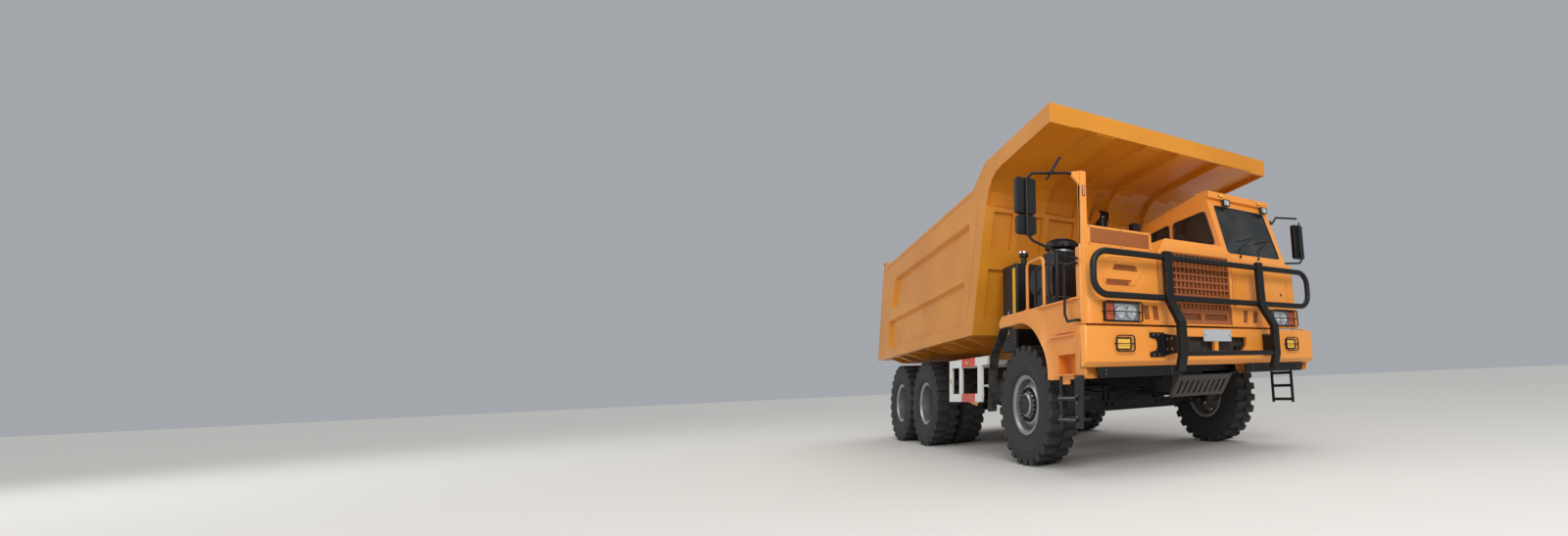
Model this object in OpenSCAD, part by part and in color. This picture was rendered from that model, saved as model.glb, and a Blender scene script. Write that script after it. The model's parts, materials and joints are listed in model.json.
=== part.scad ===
// Six-wheel mining dump truck with a half cab, a canopied dump body and a front telescopic hoist.
// Modules are drawn about the ground point under the front axle: X forward, Y to the left, Z up.

/* [Wheels and axles] */
// Distance from the front axle to the middle axle
wheel_base = 3800; // [3500:50:4000]
// Distance between the middle and the rear axle
bogie_base = 1500; // [1450:10:1600]
// Tyre diameter over the lugs
tyre_od = 1410; // [1380:5:1430]
// Tyre section width
tyre_w = 384; // [360:2:396]
// Lugs on each shoulder of a tyre
lug_count = 26; // [22:2:30]
// Height of a lug above the tread's floor
lug_depth = 38; // [30:1:42]
// Rim flange diameter
rim_od = 704; // [690:2:716]
// Front wheel centre from the truck's middle plane
front_track_half = 1455; // [1440:5:1470]
// Outer rear wheel centre from the truck's middle plane
rear_track_half = 1466; // [1455:1:1475]
// Distance between the two tyres of a rear pair
dual_space = 440; // [430:5:450]
// Kingpin distance from the truck's middle plane
kingpin_y = 1170; // [1160:5:1180]
// Length of a steering arm, kingpin to ball pin
steer_arm = 260; // [240:10:280]
// Diameter of the front spindle
spindle_d = 110; // [100:2:116]
// Diameter of the rear axle spindle
rear_spindle_d = 150; // [140:2:156]

/* [Frame] */
// Distance from the middle plane to a rail's outer face
rail_y = 465; // [455:5:470]
// Height of the frame rail
rail_h = 320; // [300:10:330]
// Height of the rail's top above the ground
rail_top = 1300; // [1295:5:1310]
// Width of the rail's flange
rail_flange = 90; // [80:5:100]
// Thickness of the rail
rail_t = 14; // [10:1:16]
// Front end of the rails
rail_front = 1480; // [1450:5:1500]
// Rear end of the rails
rail_rear = -5780; // [-5800:5:-5760]

/* [Front end] */
// Front face of the bumper
bumper_x = 1660; // [1640:5:1680]
// Half width of the bumper over its rounded ends
bumper_half = 1790; // [1760:5:1800]
// Bottom of the bumper
bumper_low = 1077; // [1060:1:1090]
// Top of the bumper
bumper_top = 1490; // [1480:5:1500]
// Thickness of the bumper's wall
bumper_t = 60; // [40:5:70]
// Half width of the bull bar's loop
bar_half = 1716; // [1690:2:1730]
// Centre height of the loop's lower tube
bar_low = 1800; // [1780:5:1820]
// Centre height of the loop's upper tube
bar_high = 2250; // [2230:5:2270]
// Diameter of the bull bar's tubes
bar_d = 68; // [60:2:76]
// Distance from the middle plane to an upright's centre
upright_y = 734; // [700:2:760]
// Width of an upright
upright_w = 100; // [80:5:110]

/* [Cab] */
// Inner side of the cab, next to the engine hood
cab_in = 450; // [445:5:460]
// Outer side of the cab
cab_out = 1600; // [1580:5:1620]
// Rear face of the cab
cab_rear = -210; // [-230:5:-200]
// Underside of the cab
cab_low = 1545; // [1540:5:1550]
// Thickness of the cab's walls and door
cab_t = 50; // [40:2:56]
// Gap round the door
door_gap = 6; // [5:0.5:8]
// Reach of the mirrors from the middle plane
mirror_reach = 2370; // [2300:5:2400]

/* [Dump body] */
// Half width of the dump body
tub_half = 1775; // [1760:5:1785]
// Thickness of the side wall at its rails
tub_wall = 95; // [85:5:105]
// Depth of the pressed panels in the side walls
panel_depth = 72; // [60:2:75]
// Depth of the ribs under the canopy, at the front wall
rib_depth = 70; // [50:5:80]
// Thickness of the tailgate
gate_t = 90; // [80:5:100]
// Height of the tipping hinge
tip_z = 1300; // [1295:5:1305]
// Distance of the tipping hinge behind the front axle
tip_x = -5950; // [-5960:5:-5940]
// Diameter of the tipping shaft
tip_d = 90; // [80:2:100]

/* [Hoist] */
// Outer diameter of the hoist's barrel
barrel_d = 240; // [230:2:250]
// Step in diameter from one stage to the next
stage_step = 32; // [30:1:36]
// Length of the barrel above its trunnion
barrel_len = 1600; // [1550:10:1620]
// Height of the barrel's trunnion
hoist_low = 1210; // [1200:5:1220]
// Height of the rod's eye
hoist_high = 3420; // [3400:5:3440]
// Distance of the hoist behind the front axle
hoist_x = -620; // [-640:5:-610]

/* [Hidden] */
$fn = 48;

seat_gap = 0.3;        // pieces that seat on a curved or moving neighbour stand off by this
pin_gap = 0.05;        // radial clearance of a pin or shaft in its bore
eps = 1;               // how far a cut runs past the face it opens
amber = "#f39a1e";
deep_amber = "#e58a12";
black = "#1b1c1e";
steel = "#8f9498";
silver = "#c3c6c8";
rubber = "#1e1e1f";
tint = "#20242899";

axle_z = tyre_od / 2;
mid_axle = -wheel_base;
rear_axle = -wheel_base - bogie_base;
rail_low = rail_top - rail_h;

// Points of the dump body's side view, as (x, z)
tub_front = [[-1277, 1650], [-1217, 1840], [-925, 2845], [-774, 3357]];
tub_top_front = [-1220, 3710];
tub_top_rear = [-6203, 3456];
tub_low_rear = [-6546, 1580];
canopy_kink = [-791, 3966];
canopy_tip = [1074, 4056];
canopy_lip = [1066, 3827];
canopy_bend = [-250, 3756];

bar_x = 1711;          // centre of the bull bar's loop
upright_path = [[1722, 2312], [1736, 1775], [1905, 1515], [1905, 1180], [1850, 1010]];
upright_d = 62;
front_reach = 1905 + upright_d / 2;
origin_x = -(front_reach + tub_low_rear[0]) / 2;

// Helpers

function unit(v) = v / norm(v);
function left_of(v) = [-v[1], v[0]];
function mix(a, b, t) = a + (b - a) * t;
// Height of the straight line through a and b at x
function line_z(a, b, x) = a[1] + (b[1] - a[1]) * (x - a[0]) / (b[0] - a[0]);
// Corner b of an outline between a and c, moved to the left of its walk by d
function shift_corner(a, b, c, d) =
  let (n1 = left_of(unit(b - a)), n2 = left_of(unit(c - b))) b + (n1 + n2) * d / (1 + n1 * n2);
// A closed outline, walked anticlockwise, with each side moved inwards by d
function inset(p, d) = let (n = len(p)) [for (i = [0 : n - 1])
  shift_corner(p[(i + n - 1) % n], p[i], p[(i + 1) % n], d)];
// An open line of points moved to its left by d
function beside(p, d) = let (n = len(p)) [for (i = [0 : n - 1])
  i == 0 ? p[0] + left_of(unit(p[1] - p[0])) * d :
  i == n - 1 ? p[i] + left_of(unit(p[i] - p[i - 1])) * d :
  shift_corner(p[i - 1], p[i], p[i + 1], d)];
function reversed(p) = [for (i = [len(p) - 1 : -1 : 0]) p[i]];
// A strip between d0 and d1 to the left of an open line
function strip(p, d0, d1) = concat(beside(p, d0), reversed(beside(p, d1)));
// Points of an arc
function arc(c, r, a0, a1, n) = [for (i = [0 : n])
  c + r * [cos(mix(a0, a1, i / n)), sin(mix(a0, a1, i / n))]];

function cross_2d(a, b) = a[0] * b[1] - a[1] * b[0];
function turned_by(v, a) = [v[0] * cos(a) - v[1] * sin(a), v[0] * sin(a) + v[1] * cos(a)];
// A closed outline with each corner rounded by n + 1 points of an arc of radius r
function soft(p, r, n = 3) = let (k = len(p)) [for (i = [0 : k - 1])
  let (b = p[i], u = unit(p[(i + k - 1) % k] - b), v = unit(p[(i + 1) % k] - b),
    half = acos(u * v) / 2, c = b + unit(u + v) * r / sin(half),
    sweep = sign(cross_2d(v, u)) * (180 - 2 * half))
  for (j = [0 : n]) c + turned_by(b + u * r / tan(half) - c, sweep * j / n)];
function box_2d(a0, a1, b0, b1) = [[a0, b0], [a1, b0], [a1, b1], [a0, b1]];

// Stands a drawing about the front axle in the truck's frame
module place() translate([origin_x, 0, 0]) children();
// Fills an outline in (x, z) from y0 to y1
module across(y0, y1) translate([0, y1, 0]) rotate([90, 0, 0]) linear_extrude(y1 - y0) children();
// Fills an outline in (y, z) from x0 to x1
module along(x0, x1) translate([x0, 0, 0]) rotate([90, 0, 90]) linear_extrude(x1 - x0) children();
// Fills an outline in (x, y) from z0 to z1
module upward(z0, z1) translate([0, 0, z0]) linear_extrude(z1 - z0) children();
module block(x0, x1, y0, y1, z0, z1) translate([x0, y0, z0]) cube([x1 - x0, y1 - y0, z1 - z0]);
module rod_y(x, z, r, y0, y1) translate([x, y0, z]) rotate([-90, 0, 0]) cylinder(h = y1 - y0, r = r);
module rod_x(y, z, r, x0, x1) translate([x0, y, z]) rotate([0, 90, 0]) cylinder(h = x1 - x0, r = r);
module rod_z(x, y, r, z0, z1) translate([x, y, z0]) cylinder(h = z1 - z0, r = r);
// Stands a drawing on a wheel's axle, with its Z pointing outward
module on_axle(x, y, z, side) translate([x, y, z]) rotate([-90 * side, 0, 0]) children();
// Turns a profile in (radius, outward distance) round a wheel's axle
module turned(x, y, z, side) on_axle(x, y, z, side) rotate_extrude() children();
module both_sides() {
  children();
  mirror([0, 1, 0]) children();
}
// A round bar from a to b
module bar(a, b, r) {
  d = b - a;
  translate(a) rotate([0, acos(d[2] / norm(d)), atan2(d[1], d[0])]) cylinder(h = norm(d), r = r);
}
// A round tube through the given points, with a ball at each bend
module tube(points, r) {
  for (i = [1 : len(points) - 1]) bar(points[i - 1], points[i], r);
  if (len(points) > 2) for (i = [1 : len(points) - 2]) translate(points[i]) sphere(r = r + 0.6);
}

// Frame

module frame_rails() color(black) both_sides() along(rail_rear, rail_front)
  difference() {
    translate([rail_y - rail_flange, rail_low]) square([rail_flange, rail_h]);
    translate([rail_y - rail_flange - eps, rail_low + rail_t])
      square([rail_flange - rail_t + eps, rail_h - 2 * rail_t]);
  }

beam_y = rail_y - rail_t;
// Crossmembers between the rails: front face, rear face, bottom and top
beams = [[1330, 1400, 1010, 1180], [-1560, -1480, 1040, 1260], [-2760, -2680, 1040, 1260],
         [-4590, -4510, 1010, 1270], [-5770, -5690, 1010, 1270]];
hinge_r = 130;
module crossmembers() color(black) {
  for (b = beams) block(b[0], b[1], -beam_y, beam_y, b[2], b[3]);
  both_sides() block(rail_front, bumper_x - bumper_t, rail_y - rail_flange, rail_y, 1130, 1290);
  for (x = cab_mount_x) {
    block(x, x + 80, rail_y - rail_flange, rail_y, rail_top, cab_low - 70);
    block(x, x + 80, rail_y - rail_flange, cab_out - 60, cab_low - 70, cab_low);
  }
  for (x = deck_mount_x) {
    block(x, x + 80, -rail_y, -rail_y + rail_flange, rail_top, deck_z - 120);
    block(x, x + 80, skin_y[1], -rail_y + rail_flange, deck_z - 120, deck_z - 20);
  }
  block(1320, 1400, rail_y - rail_flange, rail_y, rail_top, hood_low);
  hoist_cradle();
  tipping_shaft();
  tow_bracket();
}
cab_mount_x = [-200, 1050];
deck_mount_x = [-330, 1050];
hood_low = 1520;

cradle_in = barrel_d / 2 + 30;
trunnion_r = 40;
module hoist_cradle() difference() {
  union() {
    both_sides() block(hoist_x - 80, hoist_x + 80, cradle_in, beam_y, 1020, 1284);
    block(hoist_x - 80, hoist_x + 80, -cradle_in - eps, cradle_in + eps, 1020, 1045);
  }
  rod_y(hoist_x, hoist_low, trunnion_r + pin_gap, -cradle_in - 101, cradle_in + 101);
}

module tipping_shaft() {
  rod_y(tip_x, tip_z, tip_d / 2, -rail_y - 60, rail_y + 60);
  both_sides() across(rail_y, rail_y + 30) polygon(concat(
    [[rail_rear + 260, rail_low + 10], [rail_rear + 260, rail_top - 10]],
    arc([tip_x, tip_z], 95, 70, 270, 10)));
}

tow_pin_r = 30;
module tow_bracket() difference() {
  union() {
    block(rail_rear, rail_rear + 10, -300, 300, rail_low + 20, 1260);
    for (z = [1010, 1110]) block(rail_rear - 160, rail_rear, -90, 90, z, z + 40);
  }
  rod_z(rail_rear - 95, 0, tow_pin_r, 1000, 1160);
}

// Axles and suspension

beam_low = 560;
module front_axle() color(black) {
  across_beam = 60;
  difference() {
    union() {
      along(-across_beam, across_beam) polygon([
        [-kingpin_y, 650], [-kingpin_y, 760], [-900, 760], [-650, 690], [650, 690], [900, 760],
        [kingpin_y, 760], [kingpin_y, 650], [900, 640], [650, beam_low], [-650, beam_low],
        [-900, 640]]);
      for (s = [-1, 1]) rod_z(0, s * kingpin_y, 62, 640, 770);
    }
    for (s = [-1, 1]) rod_z(0, s * kingpin_y, 25 + pin_gap, 630, 780);
    for (s = [-1, 1]) block(s * across_beam - 18, s * across_beam + 18, -900, 900, 590, 665);
  }
}

// Stacked leaves, each shorter than the one above, as one outline about the main leaf's top.
// Their ends rise for bend 1 and droop for bend -1.
module leaf_pack(x, z, y0, y1, half, rise, bend, leaves, t) {
  r = half * half / (2 * rise);
  reach = [for (i = [0 : leaves - 1]) asin(half * (1 - 0.13 * i) / r)];
  last = reach[leaves - 1];
  right = [for (i = [1 : leaves], e = [i - 1, min(i, leaves - 1)]) [r + bend * i * t, reach[e]]];
  outline = concat([for (i = [-6 : 6]) [r, reach[0] * i / 6]], right,
    [for (i = [5 : -1 : -5]) [r + bend * leaves * t, last * i / 6]],
    [for (p = reversed(right)) [p[0], -p[1]]]);
  across(y0, y1) polygon([for (p = outline)
    [x + p[0] * sin(p[1]), z + bend * (r - p[0] * cos(p[1]))]]);
}

// Lowest corner of a drooping leaf pack's main leaf
function leaf_end_low(z, half, drop, t) = let (r = half * half / (2 * drop))
  z - r + (r - t) * cos(asin(half / r));
bogie_leaf_z = 1010;
bogie_leaf_half = 790;
bogie_leaf_drop = 110;
bogie_leaf_t = 20;
module suspension() {
  both_sides() {
    color(steel) front_spring();
    color(black) trunnion();
  }
}

spring_y = [375, 460];
module front_spring() {
  block(-90, 90, spring_y[0], spring_y[1], 690, 730);
  leaf_pack(0, 800, spring_y[0], spring_y[1], 820, 95, 1, 5, 18);
  for (x = [-800, 800]) across(spring_y[0] + 10, spring_y[1] - 10)
    polygon([[x - 45, rail_low], [x + 45, rail_low], [x + 20, 880], [x - 20, 880]]);
}

bogie_x = (mid_axle + rear_axle) / 2;
module trunnion() {
  across(rail_y, rail_y + 40) polygon([[bogie_x - 260, 1280], [bogie_x + 260, 1280],
    [bogie_x + 120, 720], [bogie_x - 120, 720]]);
  rod_y(bogie_x, 800, 70, rail_y + 40, 700);
  block(bogie_x - 130, bogie_x + 130, 560, 680, 800, 900);
  leaf_pack(bogie_x, bogie_leaf_z, 565, 675, bogie_leaf_half, bogie_leaf_drop, -1, 6, bogie_leaf_t);
}

housing_r = 88;
pinion_z = axle_z + 55;
pinion_reach = 380;
pinion_tail = 265;
axle_half = [[0, -1330], [rear_spindle_d / 2, -1330], [rear_spindle_d / 2, -868],
  [housing_r, -868], [housing_r, -350], [165, -150], [240, -70]];
bogie_leaf_low = leaf_end_low(bogie_leaf_z, bogie_leaf_half, bogie_leaf_drop, bogie_leaf_t);
hub_in = 880;
module rear_axles() color(black) for (x = [mid_axle, rear_axle]) {
  translate([x, 0, axle_z]) rotate([90, 0, 0]) rotate([0, 0, 100]) rotate_extrude()
    polygon(concat(axle_half, [for (p = reversed(axle_half)) [p[0], -p[1]]]));
  rod_x(0, pinion_z, 110, x + 120, x + 330);
  rod_x(0, pinion_z, 60, x + 329, x + pinion_reach);
  rod_x(0, pinion_z, 60, x - pinion_tail, x - 120);
  both_sides() block(x - 55, x + 55, 565, 675, axle_z + housing_r - 20, bogie_leaf_low - seat_gap);
}

gearbox_z = 900;
module driveline() color(steel) {
  block(-480, -100, -230, 230, 770, 1080);
  rod_x(0, gearbox_z, 70, -560, -480);
  first_end = mid_axle + pinion_reach + seat_gap;
  rod_x(0, pinion_z, 75, first_end, first_end + 40);
  bar([-540, 0, gearbox_z], [first_end + 20, 0, pinion_z], 52);
  last_end = rear_axle + pinion_reach + seat_gap;
  rod_x(0, pinion_z, 48, last_end, mid_axle - pinion_tail - seat_gap);
}

module engine() color("#5d6468") {
  block(-100, 1050, -320, 320, 790, 1700);
  for (x = [100, 800]) block(x, x + 120, -beam_y, beam_y, 1010, 1110);
}

module radiator() color(black) {
  block(1180, 1300, -480, 360, 1345, 2250);
  both_sides() block(1190, 1290, 340, 440, rail_top, 1345);
}

// Front end

module bumper_plan(shrink) {
  r = 60 - shrink * 0.7;
  y = bumper_half - shrink;
  x = bumper_x - shrink;
  rear = shrink > 0 ? bumper_rear - eps : bumper_rear;
  polygon(concat([[rear, y]], arc([x - r, y - r], r, 90, 0, 5),
    arc([x - r, -y + r], r, 0, -90, 5), [[rear, -y]]));
}
bumper_rear = 1560;
fog_y = 1309;
fog_z = 1310;
module bumper() color(amber) difference() {
  upward(bumper_low, bumper_top) difference() {
    bumper_plan(0);
    bumper_plan(bumper_t);
  }
  across(-2000, 2000) polygon([[bumper_x + eps, 1135], [bumper_x + eps, bumper_low - eps],
    [bumper_x - 70, bumper_low - eps]]);
  along(bumper_x - 200, bumper_x + eps) {
    polygon([[-500, 1390], [-500, 1300], [-420, 1222], [-25, 1222], [-25, 1390]]);
    polygon([[515, 1390], [515, 1300], [435, 1222], [35, 1222], [35, 1390]]);
  }
  for (s = [-1, 1]) block(bumper_x - 200, bumper_x + eps, s * fog_y - 90, s * fog_y + 90,
    fog_z - 62, fog_z + 62);
}

// Outline of a bull bar's bracket, with a waist between its two bolted ends
bracket_y = upright_y + upright_w / 2;
bar_bracket = [[bracket_y, 1170], [980, 1170], [980, 1222], [bracket_y + 116, 1240],
  [bracket_y + 98, 1275], [bracket_y + 98, 1325], [bracket_y + 116, 1360], [980, 1378], [980, 1430],
  [bracket_y, 1430]];
module bull_bar() color(black) {
  bend = 166;
  y = bar_half - bar_d / 2;
  for (z = [bar_low, bar_high]) rod_y(bar_x, z, bar_d / 2, -y + bend, y - bend);
  both_sides() {
    rod_z(bar_x, y, bar_d / 2, bar_low + bend, bar_high - bend);
    translate([bar_x, y - bend, bar_high - bend]) rotate([90, 0, 90])
      rotate_extrude(angle = 90) translate([bend, 0]) circle(d = bar_d);
    translate([bar_x, y - bend, bar_low + bend]) rotate([90, 0, 90]) rotate([0, 0, -90])
      rotate_extrude(angle = 90) translate([bend, 0]) circle(d = bar_d);
    across(upright_y - upright_w / 2, upright_y + upright_w / 2)
      polygon(strip(upright_path, -upright_d / 2, upright_d / 2));
    across(upright_y + upright_w / 2 - eps, upright_y + upright_w / 2 + 18)
      polygon([[bumper_x, 1180], [1900, 1200], [1900, 1380], [bumper_x, 1420]]);
    along(bumper_x, bumper_x + 18) polygon(bar_bracket);
  }
  rod_y(1905, 1190, 28, -upright_y, upright_y);
}

module valance() color(black) both_sides() {
  along(bumper_x - bumper_t - 30, bumper_x - bumper_t - seat_gap)
    polygon(soft([[530, 975], [1570, 975], [1600, 1060], [1600, 1190], [530, 1190]], 25));
  block(bumper_x - bumper_t - 110, bumper_x - bumper_t - 29, 560, 1540, 975, 990);
}

module skid_plate() color(steel) {
  top = [1460, 970];
  low = [1275, 729];
  difference() {
    across(-400, 400) polygon(strip([top, low], -7, 7));
    for (y = [-336 : 84 : 336]) across(y - 17, y + 17)
      polygon(strip([mix(top, low, 0.25), mix(top, low, 0.85)], -30, 30));
  }
  both_sides() across(385, 420) polygon([[1330, rail_low], [1340, 900], [low[0] - 20, low[1] + 10],
    [low[0], low[1] - 5], [1466, 966], [1466, rail_low]]);
}

lamp_y = [1055, 1500];
lamp_z = [1550, 1745];
lamp_x = [1560.3, 1612];
lamp_face = 1590;         // front face of the panels that hold the headlamps
module headlamps() color(silver) both_sides() {
  difference() {
    block(lamp_x[0], lamp_x[1], lamp_y[0], lamp_y[1], lamp_z[0], lamp_z[1]);
    along(lamp_x[1] - 22, lamp_x[1] + eps)
      polygon(soft(box_2d(lamp_y[0] + 12, lamp_y[1] - 12, lamp_z[0] + 12, lamp_z[1] - 12), 20));
  }
  z = (lamp_z[0] + lamp_z[1]) / 2;
  for (i = [0, 1]) rod_x(lamp_y[0] + 95 + i * 140, z, 64, lamp_x[1] - 23, lamp_x[1] + 2);
  block(lamp_x[1] - 23, lamp_x[1] + 2, lamp_y[1] - 100, lamp_y[1] - 24, z - 76, z + 76);
}

// A flat ring of bar, with its face at x
module guard_ring(x, y0, y1, z0, z1, r) along(x - 10, x) difference() {
  polygon(soft(box_2d(y0, y1, z0, z1), r));
  polygon(soft(box_2d(y0 + 12, y1 - 12, z0 + 12, z1 - 12), r - 12));
}
guard_x = 1652;
fog_guard_x = bumper_x + 42;
module lamp_guards() color(black) {
  both_sides() {
    y0 = lamp_y[0] - 17;
    y1 = lamp_y[1] + 20;
    z0 = lamp_z[0] - 16;
    z1 = lamp_z[1] + 8;
    guard_ring(guard_x, y0, y1, z0, z1, 34);
    z = (z0 + z1) / 2;
    block(guard_x - 9, guard_x - 1, y0 + 6, y1 - 6, z - 5, z + 5);
    for (y = [y0, y1 - 12]) block(lamp_face, guard_x - 9, y, y + 12, z - 6, z + 6);
  }
  for (s = [-1, 1]) {
    guard_ring(fog_guard_x, s * fog_y - 118, s * fog_y + 118, fog_z - 88, fog_z + 88, 40);
    block(fog_guard_x - 9, fog_guard_x - 1, s * fog_y - 112, s * fog_y + 112, fog_z - 4, fog_z + 4);
    for (y = [s * fog_y - 118, s * fog_y + 106])
      block(bumper_x, fog_guard_x - 9, y, y + 12, fog_z - 6, fog_z + 6);
  }
}

visor_lamp_y = [745, 1480];
module work_lamps() color("#e8a11c") {
  for (s = [-1, 1]) difference() {
    block(bumper_x - bumper_t - 40, bumper_x + 12, s * fog_y - 89.7, s * fog_y + 89.7,
      fog_z - 61.7, fog_z + 61.7);
    along(bumper_x + 2, bumper_x + 13) polygon(soft(box_2d(s * fog_y - 78, s * fog_y + 78,
      fog_z - 50, fog_z + 50), 20));
  }
  for (y = visor_lamp_y) block(1213, 1262, y - 52, y + 52, visor_z - 86, visor_z - seat_gap);
}

hood_section = [[-735, hood_low], [415, hood_low], [415, 2440], [285, 2520], [-590, 2520], [-735, 2350]];
hood_front = 1575;
hood_rear = -150;
grille_y = [-550, 366];
grille_z = [1545, 2360];
module hood() color(amber) difference() {
  along(hood_rear, hood_front) polygon(hood_section);
  along(hood_rear - eps, hood_front - 40) polygon(concat([[-705, 1500], [385, 1500]],
    [[385, 2420], [270, 2488], [-575, 2488], [-705, 2338]]));
  along(hood_front - 100, hood_front + eps)
    translate([grille_y[0], grille_z[0]]) square([grille_y[1] - grille_y[0], grille_z[1] - grille_z[0]]);
  block(hood_rear - eps, 1290, -800, 500, 1500, 1815);
  across(-800, 500) polygon([[hood_front + eps, 2410], [hood_front + eps, 2530], [hood_front - 34, 2530]]);
}

// Rows of openings between the grille's cross bars, and the framed openings below them
grille_low = 1700;
grille_rows = 8;
grille_cols = 14;
grille_bar = 16;
module grille() color("#b5652a") {
  y = [grille_y[0] + seat_gap, grille_y[1] - seat_gap];
  z = [grille_z[0] + seat_gap, grille_z[1] - seat_gap];
  row = (z[1] - grille_low) / grille_rows;
  col = (y[1] - y[0] - 2 * grille_bar) / grille_cols;
  along(hood_front - 30, hood_front - 16) difference() {
    polygon(box_2d(y[0], y[1], z[0], z[1]));
    for (i = [0 : grille_rows - 1], j = [0 : grille_cols - 1]) {
      y0 = y[0] + grille_bar + j * col + 9;
      z0 = grille_low + i * row + grille_bar + 5;
      polygon(box_2d(y0, y0 + col - 18, z0, z0 + row - grille_bar - 10));
    }
    for (j = [0, 1]) polygon(soft(box_2d(y[0] + 60 + j * 430, y[0] + 425 + j * 430, 1590, 1665), 14));
  }
  along(hood_front - 17, hood_front - 4) for (i = [0 : grille_rows - 1])
    translate([y[0], grille_low + i * row]) square([y[1] - y[0], grille_bar]);
  along(hood_front - 17, hood_front - 4) difference() {
    polygon(box_2d(y[0], y[1], z[0], z[1]));
    polygon(box_2d(y[0] + grille_bar, y[1] - grille_bar, z[0] + grille_bar, z[1] - grille_bar));
  }
}

panel_y = [-1717, -742];
face_low = [1572, 1790];
face_top = [1552, 2335];
// Draws on the upper face of the right panel: Y to the left, Z up the face, X out of it
module on_panel() translate([face_low[0], 0, face_low[1]])
  rotate([0, atan2(face_top[0] - face_low[0], face_top[1] - face_low[1]), 0]) children();
relief = [[-1513, 301], [-1497, 110], [-1053, 101], [-910, 283], [-963, 450], [-1377, 437]];
panel_slots = [[[-1350, 304], [-1018, 303], [-1041, 369], [-1311, 370]],
  [[-1423, 142], [-1146, 141], [-1100, 205], [-1433, 203]]];
// A slanted vent in a lamp panel, with its outer lower corner at y and s the side it lies on
module vent(y, s) along(lamp_face - 22, lamp_face + eps) polygon([[y, 1574], [y + s * 78, 1574],
  [y + s * 96, 1728], [y + s * 18, 1728]]);
// Part of a lamp panel that laps in front of the hood
module lap(y0, y1) block(hood_front + seat_gap, lamp_face, y0, y1, panel_low, lamp_face_top);
panel_low = 1519;
lamp_face_top = 1763;
panel_r = 90;             // radius of the right panel's outer front corner
module right_panel() color(amber) {
  difference() {
    intersection() {
      across(panel_y[0], panel_y[1]) polygon([[1478 + seat_gap, panel_low], [lamp_face, panel_low],
        [lamp_face, lamp_face_top], face_low, face_top, [1500, 2345], [1500, deck_z - seat_gap],
        [1478 + seat_gap, deck_z - seat_gap]]);
      upward(panel_low - eps, 2400) polygon(concat([[1400, panel_y[1] + eps], [1400, panel_y[0]]],
        arc([lamp_face - panel_r, panel_y[0] + panel_r], panel_r, -90, 0, 6),
        [[lamp_face, panel_y[1] + eps]]));
    }
    block(1560, 1640, -lamp_y[1] - seat_gap, -lamp_y[0] + seat_gap, lamp_z[0] - seat_gap,
      lamp_z[1] + seat_gap);
    for (y = [-896, -768]) vent(y, -1);
    on_panel() {
      along(-10, 10) difference() {
        polygon(soft(relief, 45));
        polygon(soft(inset(relief, 44), 30));
      }
      for (p = panel_slots) along(-26, 10) polygon(soft(p, 8));
    }
  }
  lap(panel_y[1] - eps, -662);
  block(1432, 1502, panel_y[0], panel_y[0] + 44, deck_z + seat_gap, 2320);
}

deck_z = 1800;
leg_low = 976;
leg_front = 1556;
arch_c = [126, 964];
arch_r = 700;
arch_line = arc(arch_c, arch_r, 90, 2, 14);
skin_y = [-1750, -1690];  // outer and inner face of the deck's side skin
leg_sunk = 40;            // how deep the leg's face lies behind the arch's lip
// Removes the outer skin in front of a slanted, bevelled line, so that the arch keeps a proud lip
module leg_recess() translate([540, 0, deck_z + 10]) rotate([0, -18, 0]) translate([0, 0, -1100])
  linear_extrude(1300) polygon([[0, skin_y[0]], [147, skin_y[0] + leg_sunk],
    [1300, skin_y[0] + leg_sunk], [1300, skin_y[0] - 10], [0, skin_y[0] - 10]]);
pocket_x = [1000, 1366];
pocket_z = [1030, 1232];
module deck() color(amber) {
  difference() {
    across(skin_y[0], skin_y[1]) polygon(concat([[-345, deck_z], [-425, 1731], [-411, 1655]], arch_line,
      [[866, leg_low]], arc([leg_front - 60, leg_low + 60], 60, -90, 0, 4),
      [[leg_front, 1515], [1478, 1515], [1478, deck_z]]));
    leg_recess();
    across(skin_y[0] - eps, skin_y[1] + eps) polygon(box_2d(pocket_x[0], pocket_x[1], pocket_z[0],
      pocket_z[1]));
  }
  difference() {
    across(skin_y[1] - eps, -1560) polygon(box_2d(pocket_x[0] - 12, pocket_x[1] + 12,
      leg_low + 20, pocket_z[1] + 12));
    across(skin_y[1] - 2 * eps, -1572) polygon(box_2d(pocket_x[0], pocket_x[1], pocket_z[0],
      pocket_z[1]));
  }
  sunk_y = skin_y[0] + leg_sunk;
  block(855, 1357, skin_y[0] + 2, sunk_y + eps, 1418, 1436);
  block(994, 1360, skin_y[0] + 15, sunk_y + eps, 1456, 1468);
  block(985, 1380, skin_y[0] + 2, -1600, pocket_z[0] - 15, pocket_z[0]);
  block(1060, 1227, skin_y[0] + leg_sunk, skin_y[1], 925, leg_low + eps);
  across(skin_y[0], -735.3) polygon(box_2d(-345, 1478, deck_z - 20, deck_z));
  across(skin_y[1] - eps, -1180) polygon(concat([[-411, 1655]], arch_line,
    arc(arch_c, arch_r + 12, 2, 90, 14), [[-411, 1667]]));
  across(skin_y[1] - eps, -1450) polygon([[826, 990], [866, leg_low], [1478, leg_low],
    [1478, 1010], [838, 1010]]);
  block(1440, 1478, skin_y[1] - eps, -1300, 1010, deck_z - 20);
}

left_arch = [[814, 1015], [657, 1400], [480, 1460], [-400, 1460]];
module fender_left() color(amber) {
  across(1180, 1730) polygon(strip(left_arch, -12, 0));
  block(1440, 1478, 1300, 1730, 1010, 1500);
  across(1180, 1730) polygon([[855, leg_low], [1478, leg_low], [1478, 1010], [840, 1010]]);
  across(1730, 1750) polygon(concat([[-400, 1520], [-400, 1460], [480, 1460], [657, 1400], [814, 1015],
    [855, leg_low]], arc([leg_front - 60, leg_low + 60], 60, -90, 0, 4), [[leg_front, 1520]]));
  block(-200, -120, 1180, 1500, 1472, cab_low - 70);
}

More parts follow.
